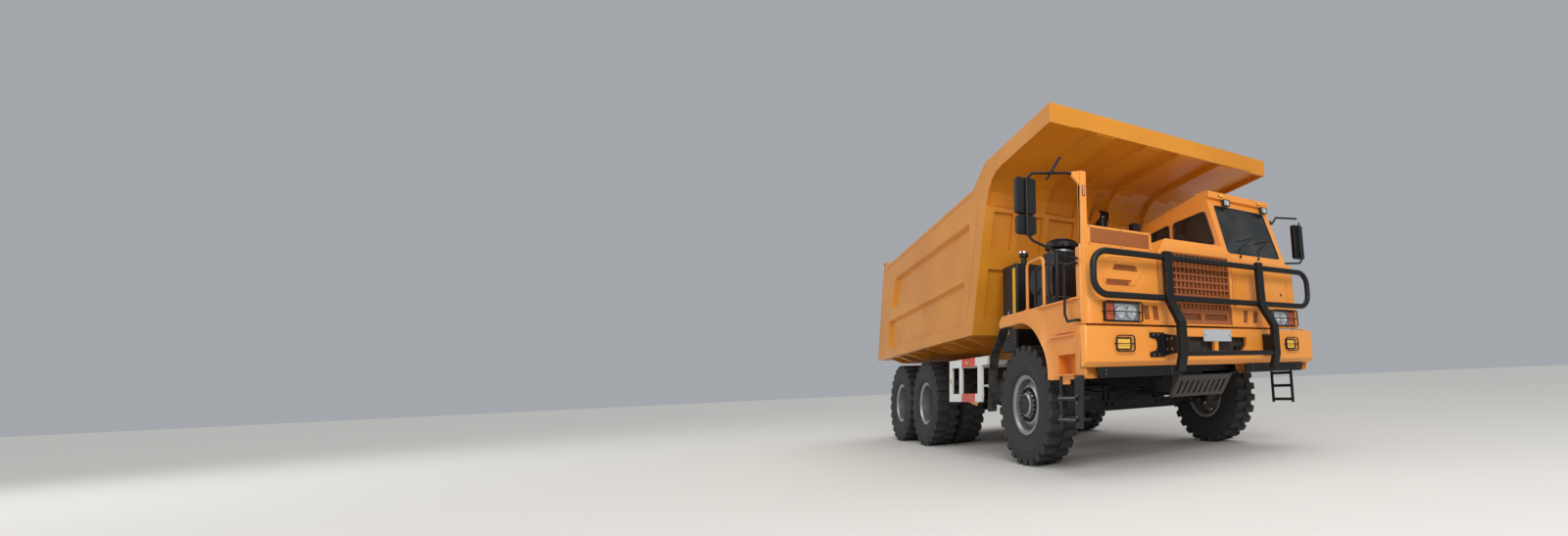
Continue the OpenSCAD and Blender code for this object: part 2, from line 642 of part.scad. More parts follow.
// Flaps behind the front wheels, from the fender's underside down to flap_low
flap_low = 620;
flap_y = [1630, 1750];
module flap(y0, y1, top) across(y0, y1) polygon(strip(concat([[-250, top[0]], [-390, top[1]]],
  [[-700, min(1350, top[1] - 170)], [-765, 1120], [-805, flap_low]]), 0, 10));
module mudguards() color(black) {
  flap(-flap_y[1], -flap_y[0], [1657.4, 1655]);
  flap(flap_y[0], flap_y[1] - 20 - seat_gap, [1460 - seat_gap, 1460 - seat_gap]);
}

tread_z = [780, 565];
strap_low = 487;
module steps() color(black) {
  for (z = tread_z) block(1040, 1400, -1745, -1560, z - 15, z + 15);
  strap_y = skin_y[0] + leg_sunk - 12 - seat_gap;
  for (x = [[1040, 1090, 1050, 1090], [1350, 1530, 1350, 1500]]) across(strap_y, strap_y + 12)
    polygon([[x[0], leg_low + 34], [x[1], leg_low + 34], [x[3], strap_low], [x[2], strap_low]]);
  for (x = [1062, 1392]) block(x, x + 28, 1575, 1605, 560, leg_low - seat_gap);
  for (z = [600, 780, 950]) block(1090, 1392, 1570, 1610, z - 18, z + 18);
}

// Cab

cab_side = [[cab_rear, cab_low], [1560, cab_low], [1545, 2365], [1450, 2420], [1190, 3210],
  [1160, 3330], [970, 3340], [cab_rear, 3200]];
door_line = [[330, 1620], [1180, 1620], [1180, 2440], [1010, 3080], [330, 3020]];
screen_low = [1450, 2420];
screen_top = [1190, 3210];
module cab_outline(d) polygon(inset(cab_side, d));
module cab_shell() color(amber) {
  difference() {
    union() {
      across(cab_in, cab_out) polygon(cab_side);
      across(cab_in, cab_out) polygon([[1540, cab_low + 5], [1540, panel_low], [lamp_face, panel_low],
        [lamp_face, lamp_face_top], face_low, [1540, 1830]]);
      lap(362, cab_in + eps);
    }
    across(cab_in + cab_t, cab_out - cab_t) cab_outline(cab_t);
    block(1560, 1640, lamp_y[0] - seat_gap, lamp_y[1] + seat_gap, lamp_z[0] - seat_gap,
      lamp_z[1] + seat_gap);
    for (y = [552, 724]) vent(y, 1);
    along(1542, 1600) difference() {
      polygon(soft(box_2d(cab_in + 30, cab_out - 150, 1850, 2330), 40));
      polygon(soft(box_2d(cab_in + 37, cab_out - 157, 1857, 2323), 33));
    }
    across(cab_out - cab_t - eps, cab_out + eps) polygon(inset(door_line, -door_gap));
    screen_opening(0, 200);
    across(cab_in - eps, cab_in + cab_t + eps) {
      polygon(side_window);
      polygon(quarter_window);
    }
    along(cab_rear - eps, cab_rear + cab_t + eps) polygon(rear_window);
  }
  hinge_pins();
  across(cab_in, cab_out) polygon([[1160, visor_z], [1225, visor_z], [1222, visor_z + 90],
    [1150, visor_z + 104], [965, visor_z + 108], [965, 3335], [1150, 3325]]);
}
visor_z = 3258;
side_window = soft([[460, 2620], [1290, 2620], [1130, 3090], [490, 3075]], 50);
quarter_window = soft([[-30, 2640], [400, 2640], [400, 3075], [-40, 3035]], 50);
rear_window = soft(box_2d(620, 1430, 2400, 2950), 60);
screen_angle = atan2(screen_top[0] - screen_low[0], screen_top[1] - screen_low[1]);
screen_len = norm(screen_top - screen_low);
// Draws in the windscreen's own plane: X to the left, Y up the glass, Z out of it
module on_screen() translate([screen_low[0], 0, screen_low[1]]) rotate([0, screen_angle, 0])
  rotate([90, 0, 90]) children();
module screen_opening(gap, deep, sunk = 0) on_screen() translate([0, 0, -deep / 2 - sunk])
  linear_extrude(deep)
  polygon(soft([[cab_in + 75 + gap, 60 + gap], [cab_out - 75 - gap, 60 + gap],
    [cab_out - 95 - gap, screen_len - 40 - gap], [cab_in + 95 + gap, screen_len - 40 - gap]], 45));

module cab_glass() color(tint) {
  screen_opening(seat_gap, 8, 16);
  across(cab_in + 10, cab_in + 18) {
    polygon(inset(side_window, seat_gap));
    polygon(inset(quarter_window, seat_gap));
  }
  along(cab_rear + 10, cab_rear + 18) polygon(inset(rear_window, seat_gap));
}

window_line = soft([[400, 2420], [1110, 2420], [970, 3010], [400, 2960]], 45);
hinge_at = [1183, cab_out + 18];
hinge_z = [1760, 2300];
module hinge_pins() for (z = hinge_z) {
  rod_z(hinge_at[0], hinge_at[1], 8, z - 30, z + 90);
  block(hinge_at[0], hinge_at[0] + 60, cab_out, hinge_at[1] + 16, z - 30, z - 2);
}
module cab_door() color(amber) {
  difference() {
    across(cab_out - cab_t, cab_out) polygon(door_line);
    across(cab_out - cab_t - eps, cab_out + eps) polygon(window_line);
  }
  for (z = hinge_z) difference() {
    union() {
      rod_z(hinge_at[0], hinge_at[1], 15, z, z + 80);
      block(hinge_at[0] - 80, hinge_at[0] - 3, cab_out - eps, hinge_at[1] - 2, z, z + 80);
    }
    rod_z(hinge_at[0], hinge_at[1], 8 + pin_gap, z - 1, z + 81);
  }
}
module door_glass() color(tint) across(cab_out - 30, cab_out - 22)
  polygon(inset(window_line, seat_gap));

cab_floor = cab_low + cab_t;
module seat() color("#2b2d30") {
  block(420, 800, 960, 1320, cab_floor, 1900);
  block(350, 870, 900, 1380, 1900, 2030);
  across(900, 1380) polygon([[350, 2030], [480, 2030], [380, 2720], [290, 2720]]);
}

module dashboard() color("#2b2d30") {
  across(cab_in + cab_t, cab_out - cab_t - 20) polygon([[1250, 2180], [1488, 2180], [1486, 2300],
    [1400, 2340], [1250, 2330]]);
  rod_z(1290, 1140, 70, cab_floor, cab_floor + 80);
  bar([1290, 1140, cab_floor + 60], [1120, 1140, 2330], 30);
  translate([1110, 1140, 2340]) rotate([0, -25, 0]) {
    rotate_extrude() translate([215, 0]) circle(r = 16, $fn = 24);
    for (a = [0, 120, 240]) rotate([0, 0, a]) translate([0, -14, -8]) cube([215, 28, 16]);
  }
}

// Outside fittings

post_x = [1430, 1500];
post_y = [-1670, -1600];
post_top = 3140;
bracket_end = -1760;
panel_z = [2350, 2565];
module mirror_post() color(amber) {
  block(post_x[0], post_x[1] - 1, post_y[0], post_y[1], deck_z, post_top);
  difference() {
    block(1480, 1499, post_y[1], -760, panel_z[0], panel_z[1]);
    block(1479, 1500, post_y[1] + 30, -790, panel_z[0] + 25, panel_z[1] - 25);
  }
  block(1486, 1492, post_y[1] + 30, -790, panel_z[0] + 25, panel_z[1] - 25);
  along(1450, 1480) polygon([[post_y[0] + eps, post_top], [bracket_end, post_top - 24],
    [bracket_end, post_top - 66], [post_y[0] + eps, post_top - 150]]);
}

arm_r = 14;
arm_out = mirror_reach - 100;
// An arm in the plane at x, and a mirror head that it carries between y0 and y1
module mirror_arm(x, path) tube([for (p = path) [x, p[0], p[1]]], arm_r);
module mirror_head(x, y0, y1, z0, z1, clamp_y) {
  along(x - 85, x - 25) polygon(soft(box_2d(y0, y1, z0, z1), 32));
  for (z = [z0 + 50, z1 - 80]) block(x - 26, x + 5, clamp_y - 20, clamp_y + 20, z, z + 30);
}
module mirrors() color(black) {
  x = 1465;
  arm_z = post_top - 45;
  mirror_arm(x, [[bracket_end - seat_gap, arm_z], [bracket_end - 60, arm_z],
    [-arm_out + 60, arm_z - 75], [-arm_out, arm_z - 140], [-arm_out, 2390], [-arm_out + 60, 2330],
    [-1810, 2200], [panel_y[0] - seat_gap, 2200]]);
  mirror_head(x, -mirror_reach, -mirror_reach + 215, 2605, 2975, -arm_out);
  mirror_head(x, -mirror_reach + 10, -mirror_reach + 215, 2400, 2590, -arm_out);
  along(x - 30, x + 30) polygon(strip([[bracket_end - 285, arm_z - 104], [bracket_end - 135, arm_z + 150]],
    -8, 8));
  left_x = 1230;
  mirror_arm(left_x, [[cab_out + 10, 3050], [cab_out + 60, 3050], [cab_out + 150, 3150],
    [arm_out - 65, 3195], [arm_out - 5, 3140], [arm_out - 5, 2580], [arm_out - 60, 2525],
    [cab_out + 60, 2470], [cab_out + 10, 2470]]);
  mirror_head(left_x, mirror_reach - 210, mirror_reach, 2600, 3110, arm_out - 5);
  for (z = [3050, 2470]) block(left_x - 30, left_x + 30, cab_out, cab_out + 12, z - 30, z + 30);
}

module handrails() {
  color(amber) tube([[495, -1700, deck_z], [495, -1700, 2250], [815, -1700, 2280],
    [815, -1700, deck_z]], 17);
  side = panel_y[0] - seat_gap;
  out = skin_y[0] - 18;
  color(black) tube([[1465, side, 2150], [1465, out, 2150], [1296, out, 2150], [1273, out, 1641],
    [1330, out, 1560], [1492, out, 1560], [1492, side, 1560]], 14);
}

module air_cleaner() color(black) {
  upward(deck_z, 2480) polygon(soft(box_2d(300, 640, -1520, -1080), 50));
  upward(deck_z, 2260) polygon(soft(box_2d(60, 310, -1500, -1100), 40));
  rod_y(185, 2180, 160, -1540, -1080);
  translate([430, -1300, 0]) rotate_extrude() polygon([[0, 2479], [150, 2479], [150, 2530],
    [205, 2545], [205, 2600], [165, 2640], [90, 2660], [0, 2662]]);
}

module hydraulic_tank() color(black) {
  upward(1400, 2540) polygon(soft(box_2d(-930, -500, -1480, -900), 40));
  block(-930, -500, -1480, -rail_y, 1380, 1400);
  block(-930, -500, -rail_y - 25, -rail_y, 1060, 1380);
  rod_z(-620, -1300, 40, 2540, 2660);
  rod_z(-620, -1300, 62, 2660, 2705);
}

module fuel_tank() color(steel) {
  across(640, 1400) polygon(soft(box_2d(-2060, -1110, 560, 1180), 70));
  for (x = [-1950, -1300]) block(x, x + 80, rail_y, 640, 1000, 1160);
}

guard_z = [743, 1335];
guard_h = 110;
guard_y = [tub_half - 40, tub_half - 10];
module side_guards() color("#e9e9e6") both_sides() {
  across(guard_y[0], guard_y[1]) {
    polygon([[-2206, guard_z[0]], [-985, guard_z[0]], [-955, guard_z[0] + guard_h],
      [-2206, guard_z[0] + guard_h]]);
    polygon([[-2206, guard_z[1] - guard_h], [-800, guard_z[1] - guard_h], [-765, guard_z[1]],
      [-2206, guard_z[1]]]);
    for (x = [[-2206, -2106], [-1800, -1710], [-1110, -970]]) polygon(box_2d(x[0], x[1],
      guard_z[0] + guard_h - eps, guard_z[1] - guard_h + eps));
  }
  for (x = [-2170, -1080]) block(x, x + 60, rail_y, guard_y[0], 1230, 1290);
}

module exhaust() color(steel) {
  rod_x(-960, 860, 210, -2050, -1150);
  block(-1640, -1560, -960, -rail_y, 1040, 1100);
  tube([[-1160, -960, 860], [-1040, -960, 860], [-1010, -600, 1120], [-120, -600, 1120],
    [0, -600, 1420], [0, -320.3, 1420]], 55);
  stack_x = -300;
  tube([[-100.3, 150, 1500], [stack_x, 150, 1500], [stack_x, 365, 1660], [stack_x, 365, 3120]], 42);
  block(stack_x - 60, stack_x + 60, 300, 430, 3119, 3250);
}

// Steering

module knuckle(side, arm_side) {
  mirror([0, side < 0 ? 1 : 0, 0]) {
    rod_z(0, kingpin_y, 25, 590, 820);
    for (z = [[585, 635], [775, 825]]) {
      rod_z(0, kingpin_y, 62, z[0], z[1]);
      block(-62, 62, kingpin_y, kingpin_y + 98, z[0], z[1]);
    }
    block(-75, 75, kingpin_y + 70, kingpin_y + 100, 585, 825);
    rod_y(0, axle_z, spindle_d / 2, kingpin_y + 99, 1600);
    upward(590, 620) translate([-steer_arm, kingpin_y - 25]) square([steer_arm - 40, 50]);
    rod_z(-steer_arm, kingpin_y, 36, 590, 620);
    rod_z(-steer_arm, kingpin_y, 14, 545, 595);
  }
}
module knuckle_left() color(steel) knuckle(1);
module knuckle_right() color(steel) knuckle(-1);
module tie_rod() color(steel) difference() {
  union() {
    rod_y(-steer_arm, 567, 20, -kingpin_y, kingpin_y);
    for (s = [-1, 1]) rod_z(-steer_arm, s * kingpin_y, 32, 548, 586);
  }
  for (s = [-1, 1]) rod_z(-steer_arm, s * kingpin_y, 14 + pin_gap, 500, 600);
}

// Wheels

rim_half = 152;
bead_r = 317;
tread_half = 176;         // outer end of the lugs, from the tyre's middle plane
floor_r = axle_z - lug_depth;
tyre_half = [[bead_r + seat_gap, 123.7], [rim_od / 2 - 9.7, 127.7], [rim_od / 2 + 0.4, 151.9],
  [rim_od / 2 + 14, 162], [450, tyre_w / 2 - 4], [535, tyre_w / 2], [floor_r - 60, tyre_w / 2 - 6],
  [floor_r - 22, tread_half - 8], [floor_r, 128]];
// A row of lugs as one toothed outline, with flat tops whose corners meet the ground together
module lug_row(z0, z1, shift) translate([0, 0, z0]) linear_extrude(z1 - z0) difference() {
  polygon([let (half = 90 / lug_count, top = axle_z / cos(half), foot = floor_r - 45)
    for (i = [0 : lug_count - 1]) for (q = [[foot, -1.5], [top, -1], [top, 1], [foot, 1.5]])
      let (a = 90 + 360 * (i + shift) / lug_count + q[1] * half) q[0] * [cos(a), sin(a)]]);
  circle(r = floor_r - 62);
}
module tyre_at(x, y, side) on_axle(x, y, axle_z, side) {
  rotate_extrude() polygon(concat(tyre_half, [for (p = reversed(tyre_half)) [p[0], -p[1]]]));
  lug_row(12, tread_half, 0);
  lug_row(-tread_half, -12, 0.5);
}

hand_holes = 10;
module ring_of_holes(r, d, z0, z1) for (i = [0 : hand_holes - 1])
  rotate([0, 0, 360 * i / hand_holes]) translate([r, 0, z0]) cylinder(h = z1 - z0, d = d);

// Rim barrel about its own middle plane
module rim_barrel(y) translate([0, y]) polygon([
  [bead_r, -124], [rim_od / 2 - 10, -128], [rim_od / 2, -rim_half], [rim_od / 2 - 22, -rim_half],
  [bead_r - 12, -132], [bead_r - 14, 132], [rim_od / 2 - 22, rim_half], [rim_od / 2, rim_half],
  [rim_od / 2 - 10, 128], [bead_r, 124]]);

module front_rim(side) color(silver) difference() {
  turned(0, side * front_track_half, axle_z, side) {
    rim_barrel(0);
    polygon([[spindle_d / 2 + pin_gap, -155], [130, -155], [130, 62], [222, 80], [bead_r - 6, 20],
      [bead_r - 6, 38], [230, 106], [216, 112], [150, 112], [140, 118], [140, 150], [118, 165],
      [0, 165], [0, 149], [spindle_d / 2 + pin_gap, 149]]);
  }
  on_axle(0, side * front_track_half, axle_z, side) ring_of_holes(268, 34, 20, 120);
}
module front_tyre(side) color(rubber) tyre_at(0, side * front_track_half, side);

module rear_tyres(x, side) color(rubber) for (y = [rear_track_half, rear_track_half - dual_space])
  tyre_at(x, side * y, side);
module rear_rims(x, side) color(silver) difference() {
  turned(x, side * rear_track_half, axle_z, side) {
    rim_barrel(0);
    rim_barrel(-dual_space);
    polygon([[rear_spindle_d / 2 + pin_gap, -dual_space - 140], [190, -dual_space - 140],
      [200, -dual_space / 2 - 16], [250, -dual_space / 2 - 16], [bead_r - 6, -dual_space + 60],
      [bead_r - 6, -dual_space + 90], [262, -dual_space / 2], [bead_r - 6, -90], [bead_r - 6, -60],
      [250, -dual_space / 2 + 16], [170, -dual_space / 2 + 16], [165, -60], [120, -40], [0, -30],
      [0, -60], [rear_spindle_d / 2 + pin_gap, -60]]);
  }
  on_axle(x, side * rear_track_half, axle_z, side)
    ring_of_holes(286, 32, -dual_space + 30, -40);
}

// Dump body

tub_side = concat(tub_front, [tub_top_front, tub_top_rear + [gate_t, 0], tub_low_rear + [gate_t, 0]]);
floor_t = 50;
floor_rise = 20;
gate_lean = (tub_top_rear - tub_low_rear) / (tub_top_rear[1] - tub_low_rear[1]);
tub_low = [tub_low_rear + [gate_t, 0], tub_front[0]];
module tub() color(deep_amber) {
  both_sides() side_wall();
  across(-tub_half + tub_wall, tub_half - tub_wall) polygon([
    tub_low[0] + gate_lean * floor_rise, tub_low[1] + [0, floor_rise],
    tub_low[1] + [-40, floor_rise + floor_t], tub_low[0] + gate_lean * (floor_rise + floor_t)]);
  front_wall();
  for (x = [-6150 : 620 : -1500]) bearer(x);
  both_sides() {
    subframe();
    hoist_ear();
  }
}

eye_half = 80;
module hoist_ear() across(eye_half + 5, eye_half + 35) polygon([[-895, 3200], [-560, 3350],
  [-545, 3420], [-575, 3475], [-700, 3475], [-762, 3360], [-790, 3345], [-855, 3345]]);

// Pressed panels of a side wall, as (x, z) outlines of their sunk floors
side_panels = [[[-5535, 2580], [-1430, 2580], [-1390, 3220], [-5250, 3080]],
  [[-5790, 1810], [-1640, 1850], [-1600, 2410], [-5710, 2270]]];
panel_slope = 34;         // width of the slope round a sunk floor
module pressed_panel(p) hull() {
  across(tub_half - panel_depth, tub_half - panel_depth + 1) polygon(soft(p, 40));
  across(tub_half, tub_half + 1) polygon(soft(inset(p, -panel_slope), 60));
}
module side_wall() {
  difference() {
    across(tub_half - tub_wall, tub_half) polygon(tub_side);
    for (p = side_panels) pressed_panel(p);
    across(tub_half - 7, tub_half + eps) {
      polygon(strip([tub_front[1], tub_front[2], tub_front[3]], 258, 272));
      polygon(strip([tub_top_front, tub_top_rear + [gate_t, 0]], 58, 70));
    }
  }
  gate_lug();
}

gate_pin = [-6150, 3530];
module gate_lug() {
  across(tub_half - tub_wall + 15, tub_half) polygon([[-6030, 3440], [-6080, 3560], [-6130, 3590],
    [-6190, 3575], [-6205, 3530], [-6170, 3480], [-6120, 3440]]);
  rod_y(gate_pin[0], gate_pin[1], 28, tub_half - tub_wall - 110, tub_half - 10);
}

// The dump body's front skin, from its sill up the front wall and out along the canopy
skin = concat(tub_front, skin_bend(), [canopy_bend, canopy_lip]);
function skin_bend() = [for (t = [0.25, 0.5, 0.75])
  tub_front[3] * pow(1 - t, 2) + [-650, 3735] * 2 * t * (1 - t) + canopy_bend * t * t];
// Point of the split between front wall and canopy, d behind the skin's stretch from a to b
function split_point(a, b, d) = let (n = left_of(unit(b - a)), s = unit(tub_top_front - tub_front[3]))
  tub_front[3] + s * d / (s * n);
front_t = 95;
canopy_t = 50;
wall_depth = 60;
function front_x(z) = lookup(z, [for (p = tub_front) [p[1], p[0]]]);
module front_wall() difference() {
  back = beside(tub_front, front_t);
  across(-tub_half + tub_wall, tub_half - tub_wall) polygon(concat(tub_front,
    [split_point(tub_front[2], tub_front[3], front_t), back[2], back[1], back[0]]));
  for (z = [[1880, 2540], [2820, 3300]]) for (y = [[-1640, -1360], [-1260, -900], [-800, -380],
    [-280, 280], [380, 800], [900, 1260], [1360, 1640]])
    across(y[0], y[1]) polygon([for (q = [[z[0], 10], [z[1], 10], [z[1], -wall_depth], [z[0], -wall_depth]])
      [front_x(q[0]) + q[1], q[0]]]);
}

module bearer(x) {
  z = line_z(tub_low[0], tub_low[1], x);
  y = tub_half - tub_wall;
  along(x - 50, x + 50) polygon([[-y, z + 30], [-y, z + 22], [300 - y, z - 95], [y - 300, z - 95],
    [y, z + 22], [y, z + 30]]);
}

ear_y = [rail_y - 105, rail_y - 5];
module subframe() difference() {
  union() {
    across(ear_y[0], ear_y[1]) polygon([[-1270, rail_top + 5], [-1250, 1680],
      [-6400, 1610], [-6300, 1480], [tip_x - 60, 1420], [tip_x, rail_top + 5]]);
    rod_y(tip_x, tip_z, 115, ear_y[0], ear_y[1]);
  }
  rod_y(tip_x, tip_z, tip_d / 2 + pin_gap, ear_y[0] - 1, ear_y[1] + 1);
}

// Ribs under the canopy run from the skin's line up to its sunk plate
canopy_ribs = [[140, 400], [870, 1140]];
lip_back = [30, 2];       // from the lip back to the flange's inner face
// A band of the canopy between d0 and d1 behind the skin, ending at the point tip of the skin's line
module canopy_band(d0, d1, tip) {
  line = concat([for (i = [3 : len(skin) - 2]) skin[i]], [tip]);
  front = beside(line, d0);
  back = beside(line, d1);
  last = len(line) - 1;
  off = unit(line[1] - line[0]) * seat_gap;
  polygon(concat([split_point(line[0], line[1], d0) + off], [for (i = [1 : last]) front[i]],
    [for (i = [last : -1 : 1]) back[i]], [split_point(line[0], line[1], d1) + off]));
}
module canopy() color(deep_amber) {
  side = concat([for (i = [3 : len(skin) - 1]) skin[i]], [canopy_tip, canopy_kink, tub_top_front]);
  both_sides() {
    across(tub_half - 20, tub_half) polygon(side);
    for (y = canopy_ribs) across(y[0], y[1])
      canopy_band(0, rib_depth + 5, canopy_lip - unit(canopy_lip - canopy_bend) * 25);
  }
  across(-tub_half + 19, tub_half - 19) canopy_band(rib_depth, rib_depth + canopy_t, canopy_lip);
  difference() {
    across(-tub_half + 19, tub_half - 19) polygon([canopy_lip - lip_back, canopy_lip, canopy_tip,
      canopy_tip - [30, 1]]);
    along(canopy_lip[0] - 60, canopy_lip[0] + 20) polygon([[-1500, canopy_lip[1] - 10],
      [1500, canopy_lip[1] - 10], [1430, canopy_lip[1] + 12], [-1430, canopy_lip[1] + 12]]);
  }
}

gate_cols = 4;
gate_rib = 80;
module tailgate() color(deep_amber) {
  top = tub_top_rear - gate_lean * 20;
  low = tub_low_rear;
  pocket = (2 * tub_half - (gate_cols + 1) * gate_rib) / gate_cols;
  difference() {
    across(-tub_half, tub_half) polygon([top, low, low + [gate_t - 6, 0], top + [gate_t - 6, 0]]);
    for (i = [0 : gate_cols - 1], f = [[0.06, 0.32], [0.38, 0.64], [0.7, 0.94]]) {
      y = -tub_half + gate_rib + i * (pocket + gate_rib);
      across(y, y + pocket) polygon(strip([mix(low, top, f[0]), mix(low, top, f[1])], -48, 10));
    }
  }
  ear_out = tub_half - tub_wall - 6;
  both_sides() difference() {
    across(ear_out - 64, ear_out) polygon([[-6205, 3400], [-6120, 3400], [-6100, 3520],
      [-6125, 3575], [-6175, 3580], [-6210, 3530]]);
    rod_y(gate_pin[0], gate_pin[1], 28 + pin_gap, ear_out - 70, ear_out + 6);
  }
}

// Hoist

stage_r = [for (i = [0 : 3]) (barrel_d - i * stage_step) / 2];
tube_t = 12;
base_z = hoist_low + 80;
stage_floor = 25;         // thickness of a stage's closed lower end
module stage_tube(i, z0, z1) rod_z(hoist_x, 0, stage_r[i], z0, z1);
module hoist_barrel() color(black) {
  difference() {
    stage_tube(0, base_z, hoist_low + barrel_len);
    rod_z(hoist_x, 0, stage_r[0] - tube_t, base_z + 30, hoist_low + barrel_len + 1);
  }
  rod_y(hoist_x, hoist_low, 95, -cradle_in + 30, cradle_in - 30);
  rod_y(hoist_x, hoist_low, trunnion_r, -cradle_in - 95, cradle_in + 95);
}
function stage_low(i) = base_z + 30 + seat_gap + (i - 1) * (stage_floor + seat_gap);
module inner_stage(i) difference() {
  rod_z(hoist_x, 0, stage_r[i - 1] - tube_t - 1, stage_low(i), hoist_low + barrel_len + 60 * i);
  rod_z(hoist_x, 0, stage_r[i] - tube_t, stage_low(i) + stage_floor, hoist_low + barrel_len + 60 * i + 1);
}
module hoist_stage_1() color(silver) inner_stage(1);
module hoist_stage_2() color(silver) inner_stage(2);
module hoist_rod() color(silver) {
  rod_z(hoist_x, 0, stage_r[2] - tube_t - 1, stage_low(3), hoist_high - 40);
  rod_y(hoist_x, hoist_high, 70, -eye_half, eye_half);
  rod_y(hoist_x, hoist_high, 38, -eye_half - 3, eye_half + 3);
}

place() frame_rails();
place() crossmembers();
place() front_axle();
place() suspension();
place() rear_axles();
place() driveline();
place() engine();
place() radiator();
place() bumper();
place() bull_bar();
place() valance();
place() skid_plate();
place() headlamps();
place() lamp_guards();
place() work_lamps();
place() hood();
place() grille();
place() right_panel();
place() deck();
place() fender_left();
place() steps();
place() cab_shell();
place() cab_glass();
place() seat();
place() dashboard();
place() mirror_post();
place() mirrors();
place() handrails();
place() air_cleaner();
place() hydraulic_tank();
place() fuel_tank();
place() side_guards();
place() mudguards();
place() exhaust();
place() cab_door();
place() door_glass();
place() knuckle_left();
place() knuckle_right();
place() tie_rod();
place() front_tyre(1);  // front_tyre_left
place() front_rim(1);  // front_rim_left
place() front_tyre(-1);  // front_tyre_right
place() front_rim(-1);  // front_rim_right
place() rear_tyres(mid_axle, 1);  // middle_tyres_left
place() rear_rims(mid_axle, 1);  // middle_rims_left
place() rear_tyres(mid_axle, -1);  // middle_tyres_right
place() rear_rims(mid_axle, -1);  // middle_rims_right
place() rear_tyres(rear_axle, 1);  // rear_tyres_left
place() rear_rims(rear_axle, 1);  // rear_rims_left
place() rear_tyres(rear_axle, -1);  // rear_tyres_right
place() rear_rims(rear_axle, -1);  // rear_rims_right
place() tub();
place() canopy();
place() tailgate();
place() hoist_barrel();
place() hoist_stage_1();
place() hoist_stage_2();
place() hoist_rod();
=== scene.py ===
"""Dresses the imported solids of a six-wheel mining dump truck with finishes and fine pieces.

X points forward, Y to the truck's left and Z up, in metres, with the origin on the ground under the
middle of the truck. Fine pieces are sized in millimetres about the ground point under the front axle.
"""

import json
import logging
import math
from dataclasses import dataclass, field
from enum import Enum
from typing import Iterable, Sequence

import bmesh
import bpy
from mathutils import Matrix, Vector

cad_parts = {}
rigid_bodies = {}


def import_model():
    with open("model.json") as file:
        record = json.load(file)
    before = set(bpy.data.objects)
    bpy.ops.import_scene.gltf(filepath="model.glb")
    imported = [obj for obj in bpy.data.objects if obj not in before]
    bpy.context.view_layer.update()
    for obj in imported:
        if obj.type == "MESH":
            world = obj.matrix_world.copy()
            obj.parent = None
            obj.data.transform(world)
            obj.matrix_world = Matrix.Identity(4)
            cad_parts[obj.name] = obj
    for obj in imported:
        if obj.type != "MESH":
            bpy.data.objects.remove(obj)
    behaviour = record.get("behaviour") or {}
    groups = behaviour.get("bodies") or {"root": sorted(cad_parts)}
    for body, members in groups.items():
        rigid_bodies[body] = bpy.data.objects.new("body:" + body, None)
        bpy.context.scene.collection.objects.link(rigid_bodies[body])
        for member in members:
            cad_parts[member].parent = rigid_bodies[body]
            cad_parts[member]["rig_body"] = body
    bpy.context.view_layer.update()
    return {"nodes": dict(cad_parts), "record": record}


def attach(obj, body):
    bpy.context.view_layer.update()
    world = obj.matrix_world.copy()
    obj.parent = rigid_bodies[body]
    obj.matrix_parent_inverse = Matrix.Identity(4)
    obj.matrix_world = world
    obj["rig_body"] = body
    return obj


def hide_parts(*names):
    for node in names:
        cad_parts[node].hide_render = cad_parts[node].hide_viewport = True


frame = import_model()

LOG = logging.getLogger("dump_truck")
MM = 0.001
FRONT_AXLE_X = 2.305
PHOTO_SIZE = (1600, 547)
# A wave texture of this scale repeats once a metre.
WAVE_SCALE = 0.314

Socket = bpy.types.NodeSocket
Pair = tuple[float, float]
Point = tuple[float, float, float]


class Axis(Enum):
    """A direction of the truck's frame."""

    X = Vector((1, 0, 0))
    Y = Vector((0, 1, 0))
    Z = Vector((0, 0, 1))


class Side(Enum):
    """A side of the truck, as the sign of Y."""

    LEFT = 1
    RIGHT = -1


X, Y, Z = (axis.value for axis in Axis)
SIDES = tuple(side.value for side in Side)


def linear(hex_colour: str) -> tuple[float, float, float, float]:
    """Turns an sRGB hex colour into linear RGBA.

    Args:
        hex_colour: six hex digits after a hash.

    Returns:
        The four linear values.
    """
    values = [int(hex_colour[i:i + 2], 16) / 255 for i in (1, 3, 5)]
    channels = [v / 12.92 if v <= 0.04045 else ((v + 0.055) / 1.055) ** 2.4 for v in values]
    return (*channels, 1.0)


